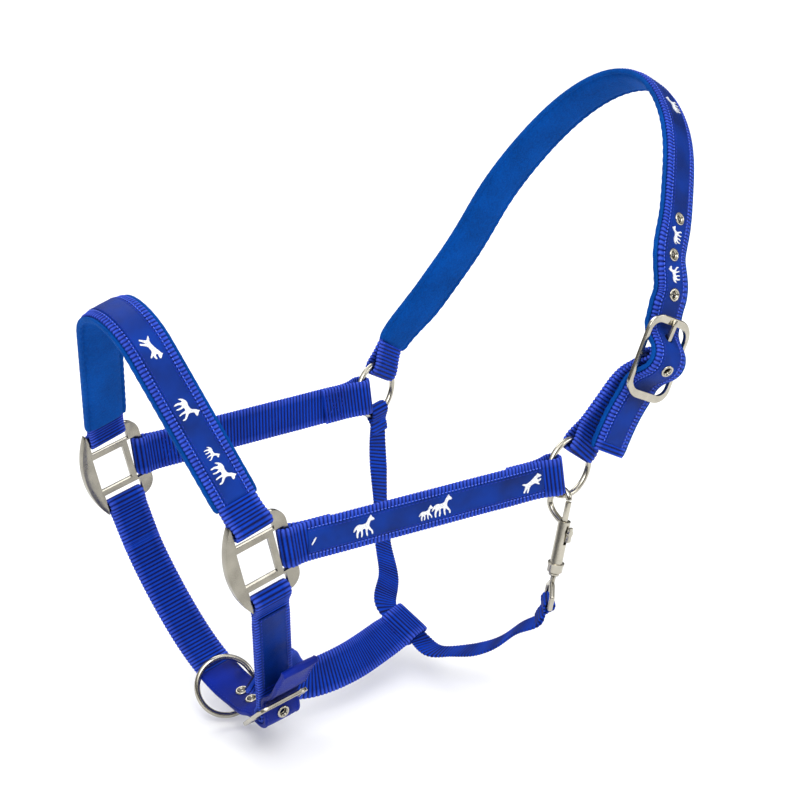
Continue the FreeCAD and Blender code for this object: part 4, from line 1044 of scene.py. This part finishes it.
LEAPING = [(-7.6, 2.9), (-6.2, 4.1), (-5.6, 5.1), (-5.0, 4.2), (-3.0, 3.6), (-1.0, 2.6), (2.0, 1.6),
           (4.2, 1.4), (5.6, 2.3), (7.6, 2.6), (6.2, 1.1), (5.2, 0.2), (6.4, -1.8), (7.8, -3.4),
           (7.2, -4.1), (5.6, -2.6), (3.7, -1.1), (4.4, -2.8), (5.4, -4.6), (4.6, -5.0), (3.3, -3.2),
           (2.0, -1.2), (-1.6, -0.5), (-3.1, -1.7), (-4.6, -3.3), (-5.3, -2.7), (-4.0, -1.0),
           (-5.6, -1.0), (-7.1, -0.3), (-6.9, 0.5), (-5.2, 0.2), (-4.2, 0.7), (-4.5, 2.1), (-6.4, 1.7),
           (-7.8, 2.1)]


DASH = [(-3, 2.4), (-2, 2.8), (1.6, -2.2), (0.8, -2.8)]


def rounded_outline(outline):
    """Cuts each corner once, which softens the outline as thread does."""
    found = []
    for first, second in zip(outline, outline[1:] + outline[:1]):
        for share in (0.25, 0.75):
            found.append((first[0] * (1 - share) + second[0] * share,
                          first[1] * (1 - share) + second[1] * share))
    return found


def motif(strip, outline, distance, height, scale=1.0, across=0.0, turn=0.0, flip=1, face=1):
    """One embroidered motif laid on a ribbon: a thin raised plate that follows the strip."""
    spots = rounded_outline(outline)
    lean = math.radians(turn)
    spots = [((x * math.cos(lean) - y * math.sin(lean)) * scale,
              (x * math.sin(lean) + y * math.cos(lean)) * scale) for x, y in spots]
    triangles = tessellate_polygon([[Vector((x, y, 0)) for x, y in spots]])
    count = len(spots)
    verts = []
    for lift in (0.45, 0.0):
        for x, y in spots:
            out = height + math.copysign(lift, height)
            verts.append(strip.spot(distance + face * x, flip * y + across, out)[0])
    faces = [tuple(t) for t in triangles]
    faces += [tuple(i + count for i in t)[::-1] for t in triangles]
    faces += [(i, i + count, (i + 1) % count + count, (i + 1) % count) for i in range(count)]
    obj = new_object("motif", verts, faces)
    work = bmesh.new()
    work.from_mesh(obj.data)
    bmesh.ops.recalc_face_normals(work, faces=work.faces)
    work.to_mesh(obj.data)
    work.free()
    return obj


CHEEK_MOTIF_HEIGHT = 2.95      # just proud of the ribbon on the doubled cheek strap
PADDED_MOTIF_HEIGHT = 1.95     # and of the ribbon on the noseband and crown


class HALTER_OT_motifs(bpy.types.Operator):
    """Embroider the horses on the ribbons"""
    bl_idname = "halter.motifs"
    bl_label = "Motifs"

    def execute(self, context):
        lines = ribbon_lines()
        nose, near, crown = (lines[n][0] for n in ("noseband_ribbon", "near_cheek_ribbon", "crown_ribbon"))
        far = lines["far_cheek_ribbon"][0]
        plates = []
        cheek = ((STANDING, 47.5, 1.05, 0, 0), (STANDING, 90, 0.72, 1.6, 0), (STANDING, 101, 1.05, 0, 0),
                 (LEAPING, 166, 0.95, 0, -14), (DASH, 14, 0.8, 0, 0))
        for strip, up in ((near, 1), (far, -1)):
            for outline, distance, scale, drop, turn in cheek:
                plates.append(motif(strip, outline, distance, CHEEK_MOTIF_HEIGHT, scale,
                                    -drop * up, turn, up, -1))
        self.noseband(nose, plates)
        for place_along, outline in ((0.50, LEAPING), (0.56, STANDING)):
            plates.append(motif(crown, outline, crown.length * place_along, PADDED_MOTIF_HEIGHT,
                                0.9, flip=-1))
        first, second, third = crown_holes(crown)[:3]
        for between in ((first + second) / 2, (second + third) / 2):
            plates.append(motif(crown, STANDING, between, PADDED_MOTIF_HEIGHT, 0.78, flip=-1))
        piece = join("ribbon_motifs", plates)
        finish_piece(piece, "motif")
        return {"FINISHED"}

    def noseband(self, nose, plates):
        total = nose.length
        for share, outline, scale in ((0.07, STANDING, 1.0), (0.115, STANDING, 0.62), (0.22, STANDING, 1.0),
                                      (0.36, LEAPING, 0.95), (0.64, LEAPING, 0.95), (0.78, STANDING, 1.0),
                                      (0.93, STANDING, 1.0)):
            plates.append(motif(nose, outline, total * share, PADDED_MOTIF_HEIGHT, scale, flip=-1))


# ---------------------------------------------------------------- repeated work by geometry nodes

def node_group(name, *sizes):
    """A new tree with a geometry input, named sizes and a material, and a geometry output."""
    tree = bpy.data.node_groups.new(name, "GeometryNodeTree")
    sockets = [("Geometry", "INPUT", "NodeSocketGeometry")]
    sockets += [(label, "INPUT", "NodeSocketFloat") for label in sizes]
    sockets += [("Material", "INPUT", "NodeSocketMaterial"), ("Geometry", "OUTPUT", "NodeSocketGeometry")]
    for label, way, kind in sockets:
        tree.interface.new_socket(label, in_out=way, socket_type=kind)
    inputs = tree.nodes.new("NodeGroupInput")
    outputs = tree.nodes.new("NodeGroupOutput")
    return tree, inputs.outputs, outputs


def connect(tree, *links):
    """Links a value or a node's first output to a node's named or numbered input."""
    for source, node, socket in links:
        output = source.outputs[0] if hasattr(source, "outputs") else source
        tree.links.new(output, node.inputs[socket])


def add_nodes(tree, *kinds):
    prefixes = {"Combine": "ShaderNode", "Math": "ShaderNode", "Align": "FunctionNode"}
    found = []
    for kind in kinds:
        prefix = next((p for word, p in prefixes.items() if kind.startswith(word)), "GeometryNode")
        found.append(tree.nodes.new(prefix + kind))
    return found


def end_tree(tree, geometry, inputs, outputs):
    """Realises the instances, smooths them and sets their material."""
    real, smooth, paint = add_nodes(tree, "RealizeInstances", "SetShadeSmooth", "SetMaterial")
    connect(tree, (geometry, real, 0), (real, smooth, 0), (smooth, paint, "Geometry"),
            (inputs["Material"], paint, "Material"), (paint, outputs, 0))


def stitch_tree():
    """Rounded stitches laid end to end along each guide line."""
    tree, inputs, outputs = node_group("stitch_rows", "Length", "Step", "Thread")
    curve, even, ball, place_on = add_nodes(tree, "MeshToCurve", "ResampleCurve", "MeshUVSphere",
                                            "InstanceOnPoints")
    align, tangent, size = add_nodes(tree, "AlignRotationToVector", "InputTangent", "CombineXYZ")
    even.mode = "LENGTH"
    for name, value in (("Segments", 6), ("Rings", 5), ("Radius", 0.5)):
        ball.inputs[name].default_value = value
    align.axis = "Z"
    connect(tree, (inputs["Geometry"], curve, 0), (curve, even, "Curve"), (inputs["Step"], even, "Length"),
            (even, place_on, "Points"), (ball, place_on, "Instance"), (tangent, align, "Vector"),
            (align, place_on, "Rotation"), (inputs["Thread"], size, "X"), (inputs["Thread"], size, "Y"),
            (inputs["Length"], size, "Z"), (size, place_on, "Scale"))
    end_tree(tree, place_on, inputs, outputs)
    return tree


# Eyelets, in metres.
RIM_RADIUS = 0.0034
RIM_WIRE = 0.0008
BARREL_RADIUS = 0.00268
BARREL_WALL = 0.0004
BARREL_SHARE = 0.47            # each rim's barrel, as a share of the way to the other rim


def eyelet_tree():
    """An eyelet at each guide point: a rolled rim and its barrel, turned to the facing attribute."""
    tree, inputs, outputs = node_group("eyelets", "Radius", "Wire", "Barrel")
    rim, rim_wire, rim_mesh = add_nodes(tree, "CurvePrimitiveCircle", "CurvePrimitiveCircle", "CurveToMesh")
    tube, wall, tube_mesh = add_nodes(tree, "CurvePrimitiveCircle", "CurvePrimitiveQuadrilateral",
                                      "CurveToMesh")
    sink, lower, offset, both = add_nodes(tree, "Transform", "Math", "CombineXYZ", "JoinGeometry")
    facing, align, points, place_on = add_nodes(tree, "InputNamedAttribute", "AlignRotationToVector",
                                                "MeshToPoints", "InstanceOnPoints")
    for circle, resolution in ((rim, 28), (rim_wire, 8), (tube, 28)):
        circle.inputs["Resolution"].default_value = resolution
    tube.inputs["Radius"].default_value = BARREL_RADIUS
    wall.inputs["Width"].default_value = BARREL_WALL
    lower.operation = "MULTIPLY"
    lower.inputs[1].default_value = -0.5
    facing.data_type = "FLOAT_VECTOR"
    facing.inputs["Name"].default_value = "facing"
    align.axis = "Z"
    connect(tree, (inputs["Radius"], rim, "Radius"), (inputs["Wire"], rim_wire, "Radius"),
            (rim, rim_mesh, "Curve"), (rim_wire, rim_mesh, "Profile Curve"),
            (inputs["Barrel"], wall, "Height"), (tube, tube_mesh, "Curve"),
            (wall, tube_mesh, "Profile Curve"),
            (inputs["Barrel"], lower, 0), (lower, offset, "Z"), (tube_mesh, sink, "Geometry"),
            (offset, sink, "Translation"), (rim_mesh, both, 0), (sink, both, 0),
            (inputs["Geometry"], points, 0), (points, place_on, "Points"), (facing, align, "Vector"),
            (align, place_on, "Rotation"), (both, place_on, "Instance"))
    end_tree(tree, place_on, inputs, outputs)
    return tree


def grow(obj, tree, material, **values):
    """Runs a tree on a guide and keeps the result as one plain mesh."""
    run = obj.modifiers.new(tree.name, "NODES")
    run.node_group = tree
    for item in tree.interface.items_tree:
        if item.in_out == "INPUT" and item.name in values:
            run[item.identifier] = values[item.name]
        if item.in_out == "INPUT" and item.name == "Material":
            run[item.identifier] = materials()[material]
    return settle(obj)


def guide(name, rows):
    """Edges along each row of points, for stitches to follow."""
    verts, edges = [], []
    for row in rows:
        base = len(verts)
        verts += [tuple(float(c) * MM for c in p) for p in row]
        edges += [(base + i, base + i + 1) for i in range(len(row) - 1)]
    mesh = bpy.data.meshes.new(name)
    mesh.from_pydata(verts, edges, [])
    obj = bpy.data.objects.new(name, mesh)
    bpy.context.scene.collection.objects.link(obj)
    return obj


def row_on(strip, start, end, across, out, step=2.0):
    distances = np.linspace(start, end, max(2, int(abs(end - start) / step)))
    points, widths, normals = strip.frames(distances)
    return list(points + widths * across + normals * out)


def box_rows(strip, start, end, half, out):
    """A sewn box across a strap, with its cross."""
    def spot(distance, across):
        return strip.spot(distance, across, out)[0]
    corners = [spot(start, -half), spot(end, -half), spot(end, half), spot(start, half)]
    rows = [[corners[i], corners[(i + 1) % 4]] for i in range(4)]
    return rows + [[corners[0], corners[2]], [corners[1], corners[3]]]


SEAM_INSET = 0.9               # ribbon seam, in from the ribbon's edge
BORDER_OUTSET = 0.8            # border row, out from the ribbon's edge
BORDER_STITCH = {"Length": 0.0016, "Step": 0.0023, "Thread": 0.0009}   # metres


class HALTER_OT_stitching(bpy.types.Operator):
    """Sew the ribbon edges, folded ends and sleeve"""
    bl_idname = "halter.stitching"
    bl_label = "Stitching"

    def execute(self, context):
        sizes = context.scene.halter_sizes
        edge_rows, blue_rows = [], []
        for name, (strip, start, end, low, side) in ribbon_lines().items():
            on_chin = name == "near_chin_ribbon"
            half = (sizes.chin_ribbon_width if on_chin else sizes.ribbon_width) / 2
            for across in (SEAM_INSET - half, half - SEAM_INSET):
                blue_rows.append(row_on(strip, start + 1, end - 1, across, (low + 0.62) * side))
            for across in () if on_chin else (-half - BORDER_OUTSET, half + BORDER_OUTSET):
                edge_rows.append(row_on(strip, start + 1, end - 1, across, (low + 0.1) * side))
        near_chin = near_chin_strip()[1]
        for distance in (10, near_chin.length - 23):
            blue_rows.append([near_chin.spot(distance, a, 2.9)[0] for a in np.linspace(-9, 9, 9)])
        for side in (-1, 1):
            _, line, length = cheek_strips(side)
            blue_rows += box_rows(line, 14, 26, 9.5, -2.4)
            blue_rows += box_rows(line, length - 28, length - 15, 9.5, -2.4)
        jaw = jaw_strips()[1]
        for out in (2.35, -2.35):
            blue_rows += box_rows(jaw, 3, 22, 9.5, out)
            blue_rows.append(row_on(jaw, jaw.length - 6, jaw.length - 5, 0, out, 1))
            blue_rows.append([jaw.spot(jaw.length - 4, a, out)[0] for a in np.linspace(-10.5, 10.5, 9)])
        chin = chin_strips()[1]
        for across in (-11.2, 11.2):
            for out in (1.6, -1.6):
                blue_rows.append(row_on(chin, chin.marks[6] + 2, chin.length - 5, across, out))
        chape = chape_strip()[1]
        for across in (-10.6, 10.6):
            for out in (2.4, -2.4):
                blue_rows.append(row_on(chape, 4, chape.length - 5, across, out))
        thread, step, length = sizes.thread * MM, sizes.stitch_step * MM, sizes.stitch_length * MM
        tree = stitch_tree()
        piece = grow(guide("blue_stitches", blue_rows), tree, "thread",
                     Length=length, Step=step, Thread=thread)
        finish_piece(piece, "thread")
        piece = grow(guide("edge_stitches", edge_rows), tree, "edge", **BORDER_STITCH)
        finish_piece(piece, "edge")
        return {"FINISHED"}


class HALTER_OT_eyelets(bpy.types.Operator):
    """Set the nickel eyelets and washers"""
    bl_idname = "halter.eyelets"
    bl_label = "Eyelets"

    def execute(self, context):
        tree = eyelet_tree()
        crown, chin = crown_strips()[1], chin_strips()[1]
        rows = (("crown", crown, crown_holes(crown), 2.05, 4.9),
                ("chin", chin, chin_holes(chin), 1.75, 1.85))
        for strap, strip, holes, out, inner in rows:
            name = strap + "_eyelet_set"
            verts, facing = [], []
            for distance in holes:
                for level in (out, -inner):
                    point, _, normal = strip.spot(distance, 0, level)
                    verts.append(tuple(point * MM))
                    facing += list(normal * math.copysign(1, level))
            mesh = bpy.data.meshes.new(name)
            mesh.from_pydata(verts, [], [])
            mesh.attributes.new("facing", "FLOAT_VECTOR", "POINT").data.foreach_set("vector", facing)
            obj = bpy.data.objects.new(name, mesh)
            context.scene.collection.objects.link(obj)
            barrel = (out + inner) * BARREL_SHARE * MM
            piece = grow(obj, tree, "nickel", Radius=RIM_RADIUS, Wire=RIM_WIRE, Barrel=barrel)
            finish_piece(piece, "nickel", replaces=(strap + "_eyelets", strap + "_washers"))
        return {"FINISHED"}


# Each metal node: the rounding of its edges in millimetres, and its finish.
METAL = {
    "near_square": (1.3, "cast"), "far_square": (1.3, "cast"),
    "near_cheek_ring": (0, "nickel"), "far_cheek_ring": (0, "nickel"), "lead_ring": (0, "nickel"),
    "crown_buckle_frame": (0.45, "nickel"), "chin_buckle_frame": (0.45, "nickel"),
    "crown_buckle_tongue": (0.55, "nickel"), "chin_buckle_tongue": (0.55, "nickel"),
    "snap_body": (0.35, "nickel"), "snap_bolt": (0.3, "nickel"), "snap_eye": (0.0, "nickel"),
    "snap_spring": (0, "spring"),
}


class HALTER_OT_fittings(bpy.types.Operator):
    """Round the edges of the squares, buckles, rings and snap, and plate them"""
    bl_idname = "halter.fittings"
    bl_label = "Metal fittings"

    def execute(self, context):
        for node, (rounding, finish) in METAL.items():
            mesh = frame["nodes"][node].data.copy()
            obj = bpy.data.objects.new(node + "_metal", mesh)
            mesh.name = obj.name
            context.scene.collection.objects.link(obj)
            work = bmesh.new()
            work.from_mesh(mesh)
            bmesh.ops.remove_doubles(work, verts=work.verts, dist=1e-6)
            if rounding:
                bmesh.ops.dissolve_limit(work, angle_limit=math.radians(1), verts=work.verts,
                                         edges=work.edges)
            work.to_mesh(mesh)
            work.free()
            mesh.shade_smooth()
            if rounding:
                bevel = obj.modifiers.new("rounding", "BEVEL")
                bevel.width = rounding * MM
                bevel.segments = 3
                bevel.limit_method = "ANGLE"
                bevel.angle_limit = math.radians(35)
                bevel.use_clamp_overlap = True
                settle(obj)
            obj.data.set_sharp_from_angle(angle=math.radians(38))
            finish_piece(obj, finish, OWNER[node], (node,))
        self.squash_spring(bpy.data.objects["snap_spring_metal"])
        return {"FINISHED"}

    def squash_spring(self, spring):
        """Measures the spring's free length and foot along the snap's axis, and gives it a mesh of its own.
        """
        lows = np.array([v.co for v in spring.data.vertices]) @ SNAP_UP
        free, foot = lows.max() - lows.min(), spring.data.vertices[int(lows.argmin())].co
        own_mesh(spring)


class HALTER_OT_tag(bpy.types.Operator):
    """Fold the small blank tag into the buckle strap's seam"""
    bl_idname = "halter.tag"
    bl_label = "Blank tag"

    def execute(self, context):
        spot, outward, tangent = on_ring(-1, 48, 27)
        turn = math.radians(8)
        axis = vec(math.sin(turn), -math.cos(turn), 0)
        centre = spot - tangent * 5 + axis * 5.6 + outward
        rows, across = 9, 7
        verts, faces = [], []
        for i in range(rows):
            for j in range(across):
                u, v = i / (rows - 1) - 0.5, j / (across - 1) - 0.5
                curl = 0.5 * math.sin(u * 3.4) + 0.25 * v * v
                verts.append(centre + tangent * (u * 7) + outward * (v * 6) + axis * curl)
        for i in range(rows - 1):
            for j in range(across - 1):
                a = i * across + j
                faces.append((a, a + 1, a + across + 1, a + across))
        piece = new_object("blank_tag", verts, faces)
        solid = piece.modifiers.new("cloth", "SOLIDIFY")
        solid.thickness = 0.35 * MM
        solid.offset = 0
        settle(piece)
        piece.data.shade_smooth()
        finish_piece(piece, "tag", replaces=("size_tag",))
        return {"FINISHED"}


# ---------------------------------------------------------------- stage

FLOOR_GAP = 0.004          # metres under the halter's lowest point
FLOOR_REACH = 9.0
MIDDLE = Vector((-0.19, 0, -0.18))
CAMERA_AIM = Vector((-0.1837, 0, -0.1808))
CAMERA_DISTANCE = 1.3396
CAMERA_LENS = 94.5


class HALTER_OT_stage(bpy.types.Operator):
    """Set the pale floor, soft lights and camera"""
    bl_idname = "halter.stage"
    bl_label = "Stage"

    def execute(self, context):
        scene = context.scene
        low = CAD_BOX[0][2] - FLOOR_GAP
        corners = [(x * FLOOR_REACH, y * FLOOR_REACH, low) for x, y in ((-1, -1), (1, -1), (1, 1), (-1, 1))]
        floor = new_object("floor", corners, [(0, 1, 2, 3)], scale=1)
        paint = Paint("pale_floor")
        tone = paint.mix(paint.noise(3, 2), (0.93, 0.93, 0.93), (0.96, 0.96, 0.96))
        paint.link(tone, paint.shader.inputs["Base Color"])
        paint.shader.inputs["Roughness"].default_value = 0.9
        floor.data.materials.append(paint.material)
        self.world(scene)
        self.softbox("key_softbox", Vector((-1.3, -1.6, 2.1)), 1.5, 36)
        self.softbox("fill_softbox", Vector((1.7, -1.8, 0.9)), 0.9, 13)
        self.softbox("back_softbox", Vector((0.4, 1.9, 1.8)), 1.4, 22)
        sun = bpy.data.lights.new("even_light", "SUN")
        sun.energy, sun.angle = 1.1, math.radians(70)
        high = bpy.data.objects.new("even_light", sun)
        high.rotation_euler = (math.radians(24), math.radians(-20), 0)
        scene.collection.objects.link(high)
        self.camera(scene)
        return {"FINISHED"}

    def world(self, scene):
        """Bright overhead and dark at the horizon, so the metal has something to mirror."""
        world = bpy.data.worlds.new("studio")
        world.use_nodes = True
        tree = world.node_tree
        sky = tree.nodes.new("ShaderNodeTexCoord")
        split, band = tree.nodes.new("ShaderNodeSeparateXYZ"), tree.nodes.new("ShaderNodeValToRGB")
        tree.links.new(sky.outputs["Generated"], split.inputs[0])
        tree.links.new(split.outputs["Z"], band.inputs[0])
        tree.links.new(band.outputs[0], tree.nodes["Background"].inputs["Color"])
        band.color_ramp.elements[0].position, band.color_ramp.elements[1].position = 0.22, 0.62
        band.color_ramp.elements[0].color = (0.05, 0.05, 0.045, 1)
        band.color_ramp.elements[1].color = (0.82, 0.82, 0.82, 1)
        tree.nodes["Background"].inputs["Strength"].default_value = 1.0
        scene.world = world
        scene.view_settings.view_transform = "Standard"

    def softbox(self, name, offset, size, power):
        """A square soft light that faces the halter's middle."""
        light = bpy.data.lights.new(name, "AREA")
        light.size = size
        light.energy = power
        obj = bpy.data.objects.new(name, light)
        obj.location = MIDDLE + offset
        obj.rotation_euler = offset.to_track_quat("Z", "Y").to_euler()
        bpy.context.scene.collection.objects.link(obj)

    def camera(self, scene):
        """The camera looks down a little on the near side from ahead of it."""
        back = Vector((-0.539, -0.770, 0.342)).normalized()
        right = Vector((0.819, -0.574, 0)).normalized()
        up = back.cross(right)
        camera = bpy.data.cameras.new("camera")
        camera.lens, camera.sensor_width = CAMERA_LENS, 36
        camera.clip_end = 50
        obj = bpy.data.objects.new("camera", camera)
        turn = Matrix((right, up, back)).transposed().to_4x4()
        obj.matrix_world = Matrix.Translation(CAMERA_AIM + back * CAMERA_DISTANCE) @ turn
        scene.collection.objects.link(obj)
        scene.camera = obj


# ---------------------------------------------------------------- panel and registration

OPERATORS = (HALTER_OT_webbing, HALTER_OT_padding, HALTER_OT_ribbons, HALTER_OT_motifs,
             HALTER_OT_stitching, HALTER_OT_eyelets, HALTER_OT_fittings, HALTER_OT_tag, HALTER_OT_stage)


class HALTER_PT_panel(bpy.types.Panel):
    """The halter's sizes, colours and pieces"""
    bl_idname = "HALTER_PT_panel"
    bl_label = "Head halter"
    bl_space_type = "VIEW_3D"
    bl_region_type = "UI"
    bl_category = "Halter"

    def draw(self, context):
        for group in (context.scene.halter_sizes, context.scene.halter_colours):
            for name in group.__annotations__:
                self.layout.prop(group, name)
        for operator in OPERATORS:
            self.layout.operator(operator.bl_idname)


CLASSES = (HalterSizes, HalterColours) + OPERATORS + (HALTER_PT_panel,)


def register():
    for item in CLASSES:
        bpy.utils.register_class(item)
    bpy.types.Scene.halter_sizes = PointerProperty(type=HalterSizes)
    bpy.types.Scene.halter_colours = PointerProperty(type=HalterColours)


def unregister():
    del bpy.types.Scene.halter_sizes
    del bpy.types.Scene.halter_colours
    for item in reversed(CLASSES):
        bpy.utils.unregister_class(item)


def main():
    register()
    bpy.ops.halter.webbing()
    bpy.ops.halter.padding()
    bpy.ops.halter.ribbons()
    bpy.ops.halter.motifs()
    bpy.ops.halter.stitching()
    bpy.ops.halter.eyelets()
    bpy.ops.halter.fittings()
    bpy.ops.halter.tag()
    bpy.ops.halter.stage()


if __name__ == "__main__":
    main()
